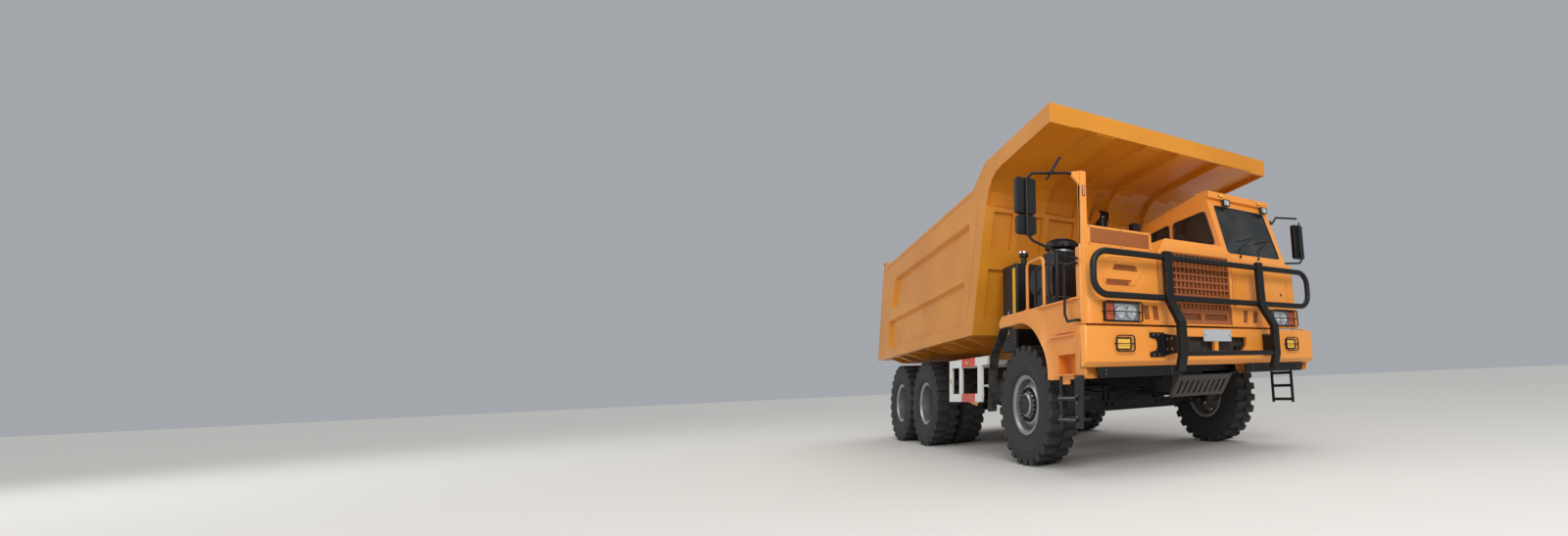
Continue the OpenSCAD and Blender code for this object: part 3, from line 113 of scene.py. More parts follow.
class Shading:
    """A material's node tree while its finish is built."""

    def __init__(self, tree: bpy.types.NodeTree) -> None:
        """Empties the tree, then adds the shader, its output and Object coordinates."""
        self.tree = tree
        tree.nodes.clear()
        self.shader = self.add("ShaderNodeBsdfPrincipled")
        self.add("ShaderNodeOutputMaterial", {0: self.shader.outputs[0]})
        self.place = self.add("ShaderNodeTexCoord").outputs["Object"]

    def add(self, kind: str, inputs: dict | None = None, **settings) -> bpy.types.Node:
        """Adds a shader node with its settings and inputs.

        Args:
            kind: the node's type name.
            inputs: values or output sockets by input name or index.
            settings: attributes of the node.

        Returns:
            The new node.
        """
        node = self.tree.nodes.new(kind)
        for name, value in settings.items():
            setattr(node, name, value)
        self.fill(inputs or {}, node)
        return node

    def fill(self, inputs: dict, node: bpy.types.Node | None = None) -> None:
        """Links sockets and sets values on a node's inputs, or on the shader's if no node is given."""
        for key, value in inputs.items():
            target = (node or self.shader).inputs[key]
            if isinstance(value, Socket):
                self.tree.links.new(value, target)
            else:
                target.default_value = value

    def ramp(self, factor: Socket, low: float, high: float) -> Socket:
        """Maps a factor from low..high onto 0..1, clamped."""
        return self.add("ShaderNodeMapRange", {"Value": factor, "From Min": low, "From Max": high}).outputs["Result"]

    def math(self, operation: str, a: Socket | float, b: Socket | float) -> Socket:
        """Joins two values or sockets by a clamped operation."""
        return self.add("ShaderNodeMath", {0: a, 1: b}, operation=operation, use_clamp=True).outputs[0]

    def times(self, a: Socket, b: Socket | float) -> Socket:
        """Multiplies two values, clamped."""
        return self.math("MULTIPLY", a, b)

    def noise(self, size: float, detail: float = 4.0) -> Socket:
        """Adds fractal noise with patches of a real size in metres."""
        return self.add("ShaderNodeTexNoise", {"Vector": self.place, "Scale": 1 / size, "Detail": detail}).outputs[0]

    def wave(self, pitch: float, way: str) -> Socket:
        """Adds waves of a real pitch in metres along a direction."""
        inputs = {"Vector": self.place, "Scale": WAVE_SCALE / pitch}
        return self.add("ShaderNodeTexWave", inputs, bands_direction=way).outputs[1]

    def blend(self, factor: Socket, a: Socket | tuple, b: Socket | tuple) -> Socket:
        """Mixes two colours by a factor."""
        return self.add("ShaderNodeMix", {0: factor, 6: a, 7: b}, data_type="RGBA").outputs[2]

    def upward(self, vector: Socket) -> Socket:
        """Returns the Z part of a vector."""
        return self.add("ShaderNodeSeparateXYZ", {0: vector}).outputs[2]

    def bump(self, height: Socket, strength: float, distance: float) -> Socket:
        """Turns a height into a normal."""
        return self.add("ShaderNodeBump", {"Height": height, "Strength": strength, "Distance": distance}).outputs[0]


@dataclass(frozen=True)
class Veil:
    """Thin dust in patches, by their width in metres, their density and the range of noise that shows."""

    colour: str
    size: float
    density: float
    low: float
    high: float = 0.8
    detail: float = 5.0

    def over(self, nodes: Shading, colour: str) -> Socket:
        """Returns a colour with the veil on it."""
        patches = nodes.ramp(nodes.noise(self.size, self.detail), self.low, self.high)
        return nodes.blend(nodes.times(patches, self.density), linear(colour), linear(self.colour))


@dataclass(frozen=True)
class Finish:
    """What every finish has: its name, its colour, its slot in the part and its roughness."""

    name: str
    colour: str
    slot: str
    roughness: float = 0.5

    def material(self) -> bpy.types.Material:
        """Returns the finish's material, built once."""
        made = bpy.data.materials.get(self.name)
        if made is None:
            made = bpy.data.materials.new(self.name)
            made.use_nodes = True
            self.dress(Shading(made.node_tree))
            made.diffuse_color = linear(self.colour)
        return made

    def dress(self, nodes: Shading) -> None:
        """Sets the shader. Each kind of finish has its own."""
        raise NotImplementedError


@dataclass(frozen=True)
class MachinePaint(Finish):
    """Two-pack machine enamel sprayed on steel: an even semi-gloss coat that takes dust on its low and
    upward faces, with its colour a little uneven over large panels."""

    roughness: float = 0.36
    faded: str = ""
    dust: float = 0.35
    dust_colour: str = "#a8927a"
    coat: float = 0.25
    metallic: float = 0.0
    specular: float = 0.5
    patch: float = 0.9
    dust_height: float = 1.5

    def dress(self, nodes: Shading) -> None:
        """Mixes the paint, its faded patches and its dust."""
        large = nodes.ramp(nodes.noise(self.patch, 5.0), 0.35, 0.7)
        paint = nodes.blend(large, linear(self.colour), linear(self.faded or self.colour))
        low = nodes.math("POWER", nodes.ramp(nodes.upward(nodes.place), self.dust_height, 0.2), 1.6)
        normal = nodes.add("ShaderNodeNewGeometry").outputs["Normal"]
        up = nodes.ramp(nodes.upward(normal), 0.55, 1.0)
        grain = nodes.ramp(nodes.noise(0.24, 9.0), 0.2, 0.85)
        settled = nodes.math("MAXIMUM", low, nodes.times(up, 0.5))
        dusty = nodes.times(nodes.times(settled, grain), self.dust)
        uneven = nodes.math("ADD", self.roughness - 0.04, nodes.times(grain, 0.08))
        nodes.fill({
            "Base Color": nodes.blend(dusty, paint, linear(self.dust_colour)),
            "Roughness": nodes.math("ADD", nodes.times(dusty, 0.5), uneven), "Metallic": self.metallic,
            "Specular IOR Level": self.specular, "Coat Weight": self.coat, "Coat Roughness": 0.18,
            "Normal": nodes.bump(nodes.noise(0.5, 2.0), 0.12, 0.01),
        })


@dataclass(frozen=True)
class TyreRubber(Finish):
    """Vulcanised tyre rubber: matt black that goes grey-brown where dust has been ground in."""

    roughness: float = 0.85
    dust_colour: str = "#7a6d5e"
    dust: float = 0.07
    dust_height: float = 1.2
    specular: float = 0.3

    def dress(self, nodes: Shading) -> None:
        """Mixes rubber and ground-in dust, with a fine grain."""
        blot = nodes.ramp(nodes.noise(0.12, 9.0), 0.35, 0.7)
        low = nodes.ramp(nodes.upward(nodes.place), self.dust_height, 0.0)
        dusty = nodes.times(nodes.times(blot, low), self.dust)
        nodes.fill({
            "Base Color": nodes.blend(dusty, linear(self.colour), linear(self.dust_colour)),
            "Roughness": self.roughness, "Specular IOR Level": self.specular,
            "Normal": nodes.bump(nodes.noise(0.006, 3.0), 0.35, 0.002),
        })


@dataclass(frozen=True)
class Metal(Finish):
    """Bare or plated steel, with its tone and roughness uneven from handling."""

    roughness: float = 0.35
    spread: float = 0.12
    grain: float = 0.05
    shade: float = 0.8

    def dress(self, nodes: Shading) -> None:
        """Sets the metal and its uneven roughness."""
        blot = nodes.noise(self.grain, 6.0)
        light = linear(self.colour)
        dark = (*(self.shade * v for v in light[:3]), 1.0)
        rough = nodes.math("ADD", self.roughness - self.spread / 2, nodes.times(blot, self.spread))
        nodes.fill({"Base Color": nodes.blend(nodes.ramp(blot, 0.3, 0.7), light, dark), "Roughness": rough,
                    "Metallic": 1.0})


@dataclass(frozen=True)
class Plastic(Finish):
    """Moulded plastic with a fine spark-eroded grain."""

    roughness: float = 0.5
    grain: float = 0.004
    relief: float = 0.2
    veil: Veil = Veil("#8d8275", 0.1, 0.25, 0.3)

    def dress(self, nodes: Shading) -> None:
        """Sets the plastic, its dull patches and its grain."""
        nodes.fill({"Base Color": self.veil.over(nodes, self.colour), "Roughness": self.roughness,
                    "Normal": nodes.bump(nodes.noise(self.grain), self.relief, 0.001)})


@dataclass(frozen=True)
class TintedGlass(Finish):
    """Toughened float glass, tinted in its mass: smooth, dark and see-through."""

    roughness: float = 0.04
    alpha: float = 0.6
    ior: float = 1.52
    coat: float = 0.5
    veil: Veil = Veil("#a99e8f", 0.3, 0.12, 0.4, detail=6.0)

    def dress(self, nodes: Shading) -> None:
        """Sets a glossy film with a faint veil of dust."""
        nodes.fill({"Base Color": self.veil.over(nodes, self.colour), "Roughness": self.roughness, "IOR": self.ior,
                    "Alpha": self.alpha, "Coat Weight": self.coat})


@dataclass(frozen=True)
class LampGlass(TintedGlass):
    """Moulded polycarbonate lamp cover: clear or coloured right through, with a hard glossy skin."""

    roughness: float = 0.06
    alpha: float = 0.3
    ior: float = 1.58
    coat: float = 0.6
    veil: Veil = Veil("#b9ad9c", 0.05, 0.15, 0.35)
    ribs: float = 0.0

    def dress(self, nodes: Shading) -> None:
        """Sets the cover and, for an optic, its moulded ribs."""
        super().dress(nodes)
        if self.ribs:
            nodes.fill({"Normal": nodes.bump(nodes.wave(self.ribs, "Y"), 0.5, 0.002)})


@dataclass(frozen=True)
class SeatCloth(Finish):
    """Woven polyester seat cloth: a dull plain weave with a soft sheen at grazing angles."""

    roughness: float = 0.9
    thread: float = 0.003
    light: str = "#4a4b50"

    def dress(self, nodes: Shading) -> None:
        """Crosses two sets of threads. Real threads of 0.5 mm are drawn at 3 mm so that they show."""
        weave = nodes.times(nodes.wave(self.thread, "Y"), nodes.wave(self.thread, "DIAGONAL"))
        nodes.fill({"Base Color": nodes.blend(weave, linear(self.colour), linear(self.light)),
                    "Roughness": self.roughness, "Sheen Weight": 0.4, "Normal": nodes.bump(weave, 0.4, 0.001)})


CAB_PAINT = MachinePaint("cab_enamel", "#ec983e", "cab_paint", faded="#e78e33")
BODY_PAINT = MachinePaint("body_enamel", "#d98d20", "body_paint", 0.44, "#cd8016", dust=0.5, dust_height=2.2)
GRILLE_PAINT = MachinePaint("grille_enamel", "#a8602a", "mesh_paint", 0.55, "#985224")
BLACK_PAINT = MachinePaint("chassis_black", "#0b0c0d", "black_paint", 0.46, "#101011", dust=0.04, coat=0.04,
                           specular=0.35)
WHITE_PAINT = MachinePaint("guard_white", "#e4e3df", "white_paint", 0.4, "#d9d7d1", dust=0.5)
RED_PAINT = MachinePaint("guard_red", "#d23a2e", "white_paint", 0.38, "#c4352a", dust=0.4)
YELLOW_PAINT = MachinePaint("strip_yellow", "#e0b21c", "amber_lens", 0.45, "#d4a616")
RIM_PAINT = MachinePaint("rim_silver", "#9a9da1", "rim_paint", 0.3, "#8b8e92", dust=0.5, metallic=0.55)
GUARD_STEEL = MachinePaint("guard_grey", "#3b3936", "black_paint", 0.5, "#45423d", dust=0.25, coat=0.05)
PLATE = MachinePaint("plate_grey", "#b9bcbf", "grey_steel", 0.4, "#adb0b3")
RUBBER = TyreRubber("tyre_rubber", "#101011", "tyre_rubber")
SEAL = Plastic("seal_rubber", "#141415", "dark_plastic", 0.7)
BLACK_PLASTIC = Plastic("black_plastic", "#111214", "dark_plastic")
FLAP_RUBBER = Plastic("flap_rubber", "#1b1b1c", "dark_plastic", 0.8, grain=0.01)
STEEL = Metal("dull_steel", "#8b8d8f", "grey_steel", 0.42)
CAST = Metal("cast_iron", "#4b4d50", "cast_metal", 0.62, grain=0.02)
CHROME = Metal("chrome_plate", "#d9dbdd", "polished_rod", 0.1, 0.06)
BOLT_ZINC = Metal("zinc_plate", "#a9a79e", "grey_steel", grain=0.01)
ALLOY = Metal("spun_aluminium", "#b4b7ba", "grey_steel", 0.32)
MIRROR = Metal("silvered_mirror", "#cfd6dc", "polished_rod", 0.03, 0.02, 0.4)
WINDOW = TintedGlass("tinted_float_glass", "#1a2427", "tinted_glass")
CLEAR_LENS = LampGlass("clear_lens", "#e9eef0", "lamp_lens", alpha=0.1)
OPTIC = LampGlass("clear_optic", "#dfe4e6", "lamp_lens", alpha=0.4, ribs=0.008)
AMBER_LENS = LampGlass("amber_lens", "#ab680b", "amber_lens", alpha=0.95, ribs=0.006)
TURN_LENS = LampGlass("turn_lens", "#c2511b", "amber_lens", alpha=0.95, ribs=0.006)
RED_LENS = LampGlass("red_lens", "#b3160f", "amber_lens", alpha=0.92, ribs=0.006)
CLOTH = SeatCloth("woven_seat_cloth", "#26272b", "seat_cloth")

SLOT_FINISH = {finish.slot: finish for finish in (
    CAB_PAINT, BODY_PAINT, BLACK_PAINT, WHITE_PAINT, GRILLE_PAINT, RIM_PAINT, STEEL, CAST, CHROME, CLEAR_LENS,
    AMBER_LENS, WINDOW, CLOTH, BLACK_PLASTIC, RUBBER)}
SLOTS = {part["node"]: part["material_slot"] for part in frame["record"]["subparts"]}
NODE_FINISH = {node: SLOT_FINISH[slot] for node, slot in SLOTS.items()} | {
    "skid_plate": GUARD_STEEL, "fuel_tank": GUARD_STEEL, "driveline": CAST, "exhaust": CAST}
EASED = {
    "bumper": 10.0, "hood": 8.0, "right_panel": 4.0, "deck": 5.0, "fender_left": 5.0, "cab_shell": 6.0,
    "cab_door": 4.0, "mirror_post": 4.0, "tailgate": 6.0, "bull_bar": 5.0, "steps": 3.0, "skid_plate": 3.0,
    "air_cleaner": 10.0, "hydraulic_tank": 10.0, "fuel_tank": 8.0, "mirrors": 8.0, "valance": 4.0,
    "crossmembers": 4.0, "radiator": 5.0,
}


def at(x: float, y: float, z: float) -> Vector:
    """Turns millimetres about the ground point under the front axle into the frame's metres."""
    return Vector((x * MM + FRONT_AXLE_X, y * MM, z * MM))


def rounded_line(points: Sequence[Vector], radius: float, steps: int = 4) -> list[Vector]:
    """Rounds the inner corners of an open line.

    Args:
        points: the line's corners.
        radius: how much of each leg a corner may take, in metres.
        steps: points per corner, less one.

    Returns:
        The rounded line.
    """
    line = [points[0]]
    for before, corner, after in zip(points, points[1:], points[2:]):
        cut = min(radius, (before - corner).length * 0.45, (after - corner).length * 0.45)
        back, on = (before - corner).normalized() * cut, (after - corner).normalized() * cut
        for t in (step / steps for step in range(steps + 1)):
            line.append(corner + back * (1 - t) ** 2 + on * t ** 2)
    return line + [points[-1]]


def cut_corners(corners: Sequence[Pair], reach: float, shares: Sequence[Pair]) -> list[Vector]:
    """Replaces each corner of a closed outline by points near it.

    Args:
        corners: the outline's corners.
        reach: how much of each leg a corner takes.
        shares: for each point, its shares of that towards the corner before and the corner after.

    Returns:
        The outline's new points.
    """
    line = []
    for k in range(len(corners)):
        here, before, after = (Vector(corners[i % len(corners)]) for i in (k, k - 1, k + 1))
        back, on = (before - here).normalized() * reach, (after - here).normalized() * reach
        line += [here + back * a + on * b for a, b in shares]
    return line


@dataclass
class Piece:
    """A piece while it is built: a mesh that grows by operators, then an object on its body.

    Block corners are in millimetres, as for at(), and so are all widths. Vectors are in metres."""

    name: str
    finish: Finish
    body: str = "chassis"
    slot: str = ""
    crease: float = 40.0
    shape: bmesh.types.BMesh = field(default_factory=bmesh.new)

    def __post_init__(self) -> None:
        """Takes the finish's slot where none is given."""
        self.slot = self.slot or self.finish.slot

    def _cube(self, corner: Point, other: Point) -> list[bmesh.types.BMVert]:
        """Adds a plain block between two opposite corners and returns its vertices."""
        low, high = (at(*map(pick, corner, other)) for pick in (min, max))
        place = Matrix.Translation((low + high) / 2) @ Matrix.Diagonal((*(high - low), 1))
        return bmesh.ops.create_cube(self.shape, size=1, matrix=place)["verts"]

    def _bevel(self, verts: Iterable[bmesh.types.BMVert], width: float, segments: int = 2) -> "Piece":
        """Bevels the sharp edges among the vertices."""
        edges = {e for v in verts for e in v.link_edges if e.is_manifold and e.calc_face_angle(0) > 0.6}
        if width and edges:
            bmesh.ops.bevel(self.shape, geom=list(edges), offset=width * MM, offset_type="OFFSET", segments=segments,
                            profile=0.5, affect="EDGES", clamp_overlap=True, material=-1)
        return self

    def block(self, corner: Point, other: Point, bevel: float = 3.0) -> "Piece":
        """Adds a bevelled block between two opposite corners."""
        return self._bevel(self._cube(corner, other), bevel)

    def tray(self, corner: Point, other: Point, rim: float, depth: float, way: Axis = Axis.X) -> "Piece":
        """Adds a block whose face towards an axis is inset by a rim and sunk by a depth."""
        made = self._cube(corner, other)
        self.shape.normal_update()
        front = [f for f in {f for v in made for f in v.link_faces} if f.normal.dot(way.value) > 0.9]
        bmesh.ops.inset_region(self.shape, faces=front, thickness=rim * MM)
        bmesh.ops.inset_region(self.shape, faces=front, thickness=0.5 * MM, depth=-depth * MM)
        return self

    def rod(self, a: Vector, b: Vector, radius: float, radius_b: float | None = None, steps: int = 24,
            bevel: float = 0.0) -> "Piece":
        """Adds a round bar or cone from a to b."""
        along = b - a
        place = Matrix.Translation((a + b) / 2) @ along.to_track_quat("Z", "Y").to_matrix().to_4x4()
        made = bmesh.ops.create_cone(self.shape, cap_ends=True, segments=steps, radius1=radius * MM,
                                     radius2=(radius if radius_b is None else radius_b) * MM, depth=along.length,
                                     matrix=place)["verts"]
        return self._bevel(made, bevel)

    def turned(self, centre: Vector, axis: Vector, profile: Sequence[Pair], steps: int = 48) -> "Piece":
        """Spins a closed profile of (radius, height) round an axis through a centre."""
        place = Matrix.Translation(centre) @ axis.to_track_quat("Z", "Y").to_matrix().to_4x4()
        verts = [self.shape.verts.new(place @ Vector((r * MM, 0, h * MM))) for r, h in profile]
        edges = [self.shape.edges.new(pair) for pair in zip(verts, verts[1:] + verts[:1])]
        bmesh.ops.spin(self.shape, geom=verts + edges, cent=centre, axis=axis, angle=math.tau, steps=steps,
                       use_merge=True, use_duplicate=False)
        return self

    def tube(self, points: Sequence[Vector], radius: float, bend: float = 60.0, closed: bool = False) -> "Piece":
        """Sweeps a round section along a line whose corners are bent."""
        line = list(points) if closed else rounded_line(points, bend * MM)
        data = bpy.data.curves.new(self.name + "_path", "CURVE")
        data.dimensions, data.bevel_depth, data.bevel_resolution, data.use_fill_caps = "3D", radius * MM, 3, True
        spline = data.splines.new("POLY")
        spline.points.add(len(line) - 1)
        for point, place in zip(spline.points, line):
            point.co = (*place, 1)
        spline.use_cyclic_u = closed
        carrier = bpy.data.objects.new(self.name + "_path", data)
        self.shape.from_mesh(carrier.to_mesh())
        carrier.to_mesh_clear()
        bpy.data.objects.remove(carrier)
        return self

    def plate(self, outline: Sequence[Vector], thickness: Vector, bevel: float) -> "Piece":
        """Adds a flat outline pushed out by a thickness vector."""
        verts = [self.shape.verts.new(p) for p in outline]
        face = self.shape.faces.new(verts)
        pushed = bmesh.ops.extrude_face_region(self.shape, geom=[face], use_keep_orig=True)["geom"]
        moved = [item for item in pushed if isinstance(item, bmesh.types.BMVert)]
        bmesh.ops.translate(self.shape, verts=moved, vec=thickness)
        return self._bevel(verts + moved, bevel, 1)

    def bolts(self, centres: Iterable[Vector], way: Vector, across: float, height: float) -> "Piece":
        """Adds a washer and a hexagon head at each centre."""
        push = way.normalized() * MM
        for centre in centres:
            self.rod(centre - push, centre + push * 2.5, across * 0.62, steps=14)
            self.rod(centre + push * 2.4, centre + push * (2.5 + height), across * 0.5, across * 0.46, steps=6)
        return self

    def net(self, corner: Vector, u: Vector, v: Vector, pitch: float, wire: float, thick: float) -> "Piece":
        """Adds a punched sheet between corner, corner + u and corner + v."""
        columns, rows = (max(2, round(leg.length / MM / pitch)) for leg in (u, v))
        made = bmesh.ops.create_grid(self.shape, x_segments=columns, y_segments=rows, size=0.5)["verts"]
        place = Matrix((u, v, u.cross(v).normalized())).transposed().to_4x4()
        bmesh.ops.transform(self.shape, matrix=Matrix.Translation(corner + (u + v) / 2) @ place, verts=made)
        cells = list({f for vert in made for f in vert.link_faces})
        bmesh.ops.inset_individual(self.shape, faces=cells, thickness=wire / 2 * MM)
        bmesh.ops.delete(self.shape, geom=cells, context="FACES")
        web = list({f for vert in made if vert.is_valid for f in vert.link_faces})
        bmesh.ops.solidify(self.shape, geom=web, thickness=thick * MM)
        return self

    def done(self, *replaced: str, subdivide: int = 0) -> bpy.types.Object:
        """Turns the mesh into an object on its body.

        Args:
            replaced: the CAD nodes that the piece stands for.
            subdivide: levels of subdivision.

        Returns:
            The finished object.
        """
        bmesh.ops.remove_doubles(self.shape, verts=self.shape.verts, dist=2e-6)
        bmesh.ops.recalc_face_normals(self.shape, faces=self.shape.faces)
        mesh = bpy.data.meshes.new(self.name)
        self.shape.to_mesh(mesh)
        self.shape.free()
        mesh.shade_smooth()
        mesh.set_sharp_from_angle(angle=math.radians(self.crease))
        mesh.materials.append(self.finish.material())
        made = bpy.data.objects.new(self.name, mesh)
        bpy.context.scene.collection.objects.link(made)
        if subdivide:
            smooth = made.modifiers.new("smooth", "SUBSURF")
            smooth.levels = smooth.render_levels = subdivide
        else:
            made.modifiers.new("flat_faces", "WEIGHTED_NORMAL").keep_sharp = True
        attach(made, self.body)
        if replaced:
            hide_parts(*replaced)
        LOG.info("%s: %d faces on %s", self.name, len(mesh.polygons), self.body)
        return made


def bolt_set(name: str, body: str = "chassis") -> Piece:
    """Starts a piece of zinc-plated bolts, with crisp edges on their heads."""
    return Piece(name, BOLT_ZINC, body, crease=30)


@dataclass
class EasedNode:
    """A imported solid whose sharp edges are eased, as a fold, a casting or a weld leaves them."""

    node: str
    width: float
    segments: int = 2
    sharp_angle: float = 32.0

    def _eases(self, edge: bmesh.types.BMEdge) -> bool:
        """Tells if an edge is sharp and has room for the bevel on both its faces."""
        if not edge.is_manifold or edge.calc_face_angle(0) < math.radians(self.sharp_angle):
            return False
        wide, length = self.width * MM, edge.calc_length()
        return length > 2.2 * wide and all(f.calc_area() / length > 2.4 * wide for f in edge.link_faces)

    def build(self) -> bpy.types.Object:
        """Copies the node, bevels its sharp edges and stands the copy in for it.

        Returns:
            The eased object.
        """
        source = frame["nodes"][self.node]
        piece = Piece("eased_" + self.node, NODE_FINISH[self.node], source["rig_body"], SLOTS[self.node])
        shape = piece.shape
        shape.from_mesh(source.data)
        bmesh.ops.remove_doubles(shape, verts=shape.verts, dist=1e-5)
        bmesh.ops.dissolve_limit(shape, angle_limit=math.radians(0.5), verts=shape.verts, edges=shape.edges)
        sharp = [edge for edge in shape.edges if self._eases(edge)]
        if sharp:
            bmesh.ops.bevel(shape, geom=sharp, offset=self.width * MM, offset_type="OFFSET", segments=self.segments,
                            profile=0.5, affect="EDGES", clamp_overlap=False, material=-1)
        return piece.done(self.node)


@dataclass
class FrontLighting:
    """Headlamps, fog lamps, roof lamps and small markers."""

    lamp_y: Pair = (1055.0, 1500.0)
    lamp_z: Pair = (1550.0, 1745.0)
    face_x: float = 1612.0
    bowls: Pair = (1150.0, 1287.0)
    divider_y: Pair = (1374.0, 1384.0)
    turn_pitch: float = 21.4
    fog_y: float = 1309.0
    fog_z: float = 1310.0
    roof_y: Pair = (745.0, 1480.0)
    visor_y: Pair = (660.0, 1400.0)
    guard_markers: tuple[Pair, ...] = ((-1500, 1280), (-2156, 1040))

    def headlamps(self) -> None:
        """Builds the trays, reflector bowls, covers and turn lamps."""
        tray = Piece("headlamp_housings", BLACK_PLASTIC)
        bowls = Piece("headlamp_reflectors", CHROME)
        covers = Piece("headlamp_covers", CLEAR_LENS)
        optics = Piece("headlamp_optics", OPTIC)
        turn = Piece("turn_lamps", TURN_LENS)
        x, (y0, y1), (z0, z1) = self.face_x, self.lamp_y, self.lamp_z
        y2, y3 = self.divider_y
        # Each slab: its piece, how far behind the face it starts and ends, its span of y, its inset in z, its bevel.
        slabs = [(bowls, 34, 30, y0 + 18, y1 - 18, 14, 3), (turn, 32, 4, y3, y1 - 9, 9, 6),
                 (covers, 5, 0.5, y0 + 9, y2, 9, 1.5), (tray, 40, 1, y2, y3, 6, 2)]
        for rib in (y3 + self.turn_pitch * k for k in range(1, 5)):
            slabs.append((turn, 5, 1, rib - 3, rib + 3, 16, 1))
        for s in SIDES:
            tray.tray((x - 51.7, s * y0, z0), (x, s * y1, z1), 9, 40)
            for y in self.bowls:
                centre = at(x - 8, s * y, (z0 + z1) / 2)
                bowls.turned(centre, X, [(0, -30), (30, -27), (52, -14), (62, 0), (66, 0), (66, -4), (56, -18),
                                         (32, -32), (0, -34)])
                bowls.rod(centre - 30 * MM * X, centre - 12 * MM * X, 11, 8, bevel=1.5)
                optics.turned(centre, X, [(0, 1), (40, -1), (61, -5), (61, -8), (40, -5), (0, -3)])
            for piece, back, front, inner, outer, inset, bevel in slabs:
                piece.block((x - back, s * inner, z0 + inset), (x - front, s * outer, z1 - inset), bevel)
        tray.done("headlamps")
        for piece in (bowls, covers, optics, turn):
            piece.done()

    def fog_and_roof_lamps(self) -> None:
        """Builds the fog lamps in the bumper and the lamps under the visor."""
        housings = Piece("lamp_housings", BLACK_PLASTIC)
        fog = Piece("fog_lenses", AMBER_LENS)
        bowls = Piece("lamp_reflectors", CHROME)
        roof = Piece("roof_lamp_lenses", OPTIC)
        z = self.fog_z
        for y in (s * self.fog_y for s in SIDES):
            housings.tray((1560, y - 89, z - 61), (1673, y + 89, z + 61), 9, 22)
            fog.block((1650, y - 79, z - 51), (1666, y + 79, z + 51), 8)
            for rib in (y + 20 * k for k in range(-3, 4)):
                fog.block((1665, rib - 3, z - 42), (1669, rib + 3, z + 42), 1.5)
        for y in self.roof_y:
            housings.tray((1213, y - 52, 3172), (1262, y + 52, 3257.5), 6, 20)
            housings.block((1212, y - 14, 3246), (1240, y + 14, 3257.6), 2)
            roof.block((1250, y - 45, 3179), (1259, y + 45, 3251))
            bowls.turned(at(1247, y, 3215), X, [(0, -14), (22, -9), (33, 1), (35, 1), (24, -12), (0, -17)])
        housings.done("work_lamps")
        for piece in (fog, bowls, roof):
            piece.done()

    def markers(self) -> None:
        """Builds the marker lamps on the visor, the post, the fenders and the guards."""
        amber = Piece("marker_lenses", AMBER_LENS)
        seats = Piece("marker_seats", BLACK_PLASTIC)
        for y in self.visor_y:
            seats.block((1221, y - 36, 3286), (1229, y + 36, 3320), 2)
            amber.block((1228, y - 31, 3290), (1243, y + 31, 3316), 5)
        seats.block((1498.5, -1654, 2868), (1503, -1618, 2984), 2)
        Piece("post_marker", TURN_LENS).block((1502, -1651, 2873), (1516, -1621, 2979), 6).done()
        for x, z in self.guard_markers:
            for s in SIDES:
                seats.rod(at(x, s * 1764.5, z), at(x, s * 1768, z), 30)
                amber.rod(at(x, s * 1767, z), at(x, s * 1774, z), 25, 21, bevel=2)
        seats.done()
        amber.done()

    def build(self) -> None:
        """Builds all the lamps at the front."""
        self.headlamps()
        self.fog_and_roof_lamps()
        self.markers()


@dataclass
class GrilleAndPanels:
    """The nets behind the grille, the vents and the side panel's slots, with the screws round them."""

    grille_y: Pair = (-545.0, 361.0)
    grille_z: Pair = (1550.0, 2355.0)
    vent_z: Pair = (1574.0, 1728.0)
    vent_width: float = 78.0
    vent_lean: float = 18.0
    slots: tuple[tuple[float, ...], ...] = ((-1330, -1036, 308, 365), (-1418, -1138, 146, 200))
    panel_slope: float = -20 / 545

    def vents(self) -> None:
        """Builds the leaning vents beside the grille and the bars of the side panel's slots."""
        vents = Piece("vent_nets", GRILLE_PAINT)
        low, high = self.vent_z
        lean = self.vent_lean
        for side, starts in ((Side.RIGHT, (896, 768)), (Side.LEFT, (552, 724))):
            s = side.value
            for near in starts:
                far = near + self.vent_width
                corners = ((near, low), (far, low), (far + lean, high), (near + lean, high))
                vents.plate([at(1569, s * y, z) for y, z in corners], 2.5 * MM * X, 0)
                for share in (k / 8 for k in range(1, 8)):
                    z, shift = low + (high - low) * share, lean * share
                    vents.block((1571, s * (near + shift + 3), z - 4), (1577, s * (far + shift - 3), z + 4), 1.5)
        vents.done()
        slots = Piece("panel_slot_nets", GRILLE_PAINT)
        for left, right, low, high in self.slots:
            for row in range(5):
                z = low + (high - low) * (row + 0.5) / 5
                x = 1556 + z * self.panel_slope
                slots.block((x, left, 1790 + z - 3.4), (x + 6, right, 1790 + z + 3.4), 1.2)
        slots.done()

    def build(self) -> None:
        """Builds the nets, a black sheet behind the grille net as painted shade in its openings, and the fasteners.
        """
        (y0, y1), (z0, z1) = self.grille_y, self.grille_z
        net = Piece("grille_net", GRILLE_PAINT)
        net.net(at(1540, y0, z0), (y1 - y0) * MM * Y, (z1 - z0) * MM * Z, 15, 6, 1.5)
        net.done()
        # A black sheet just behind the grille net: painted shade, so that the net's openings read dark.
        Piece("grille_backing", BLACK_PLASTIC).block((1524, y0 + 4, z0 + 4), (1528, y1 - 4, z1 - 4), 1).done()
        self.vents()
        screen = Piece("side_screen", GRILLE_PAINT)
        screen.net(at(1496, -1566, 2378), 772 * MM * Y, 159 * MM * Z, 17, 6, 1.5)
        screen.block((1491.8, -1566, 2378), (1493, -794, 2537), 0)
        screen.done()
        screws = bolt_set("panel_screws")
        ring = ((-1585, 2364), (-1585, 2551), (-775, 2364), (-775, 2551), (-1180, 2552), (-1180, 2363))
        screws.bolts([at(1499, y, z) for y, z in ring], X, 13, 5)
        screws.bolts([at(1571, y, z) for y in (-541, 357) for z in (1600, 1790, 1980, 2170, 2330)], X, 10, 3)
        screws.done()


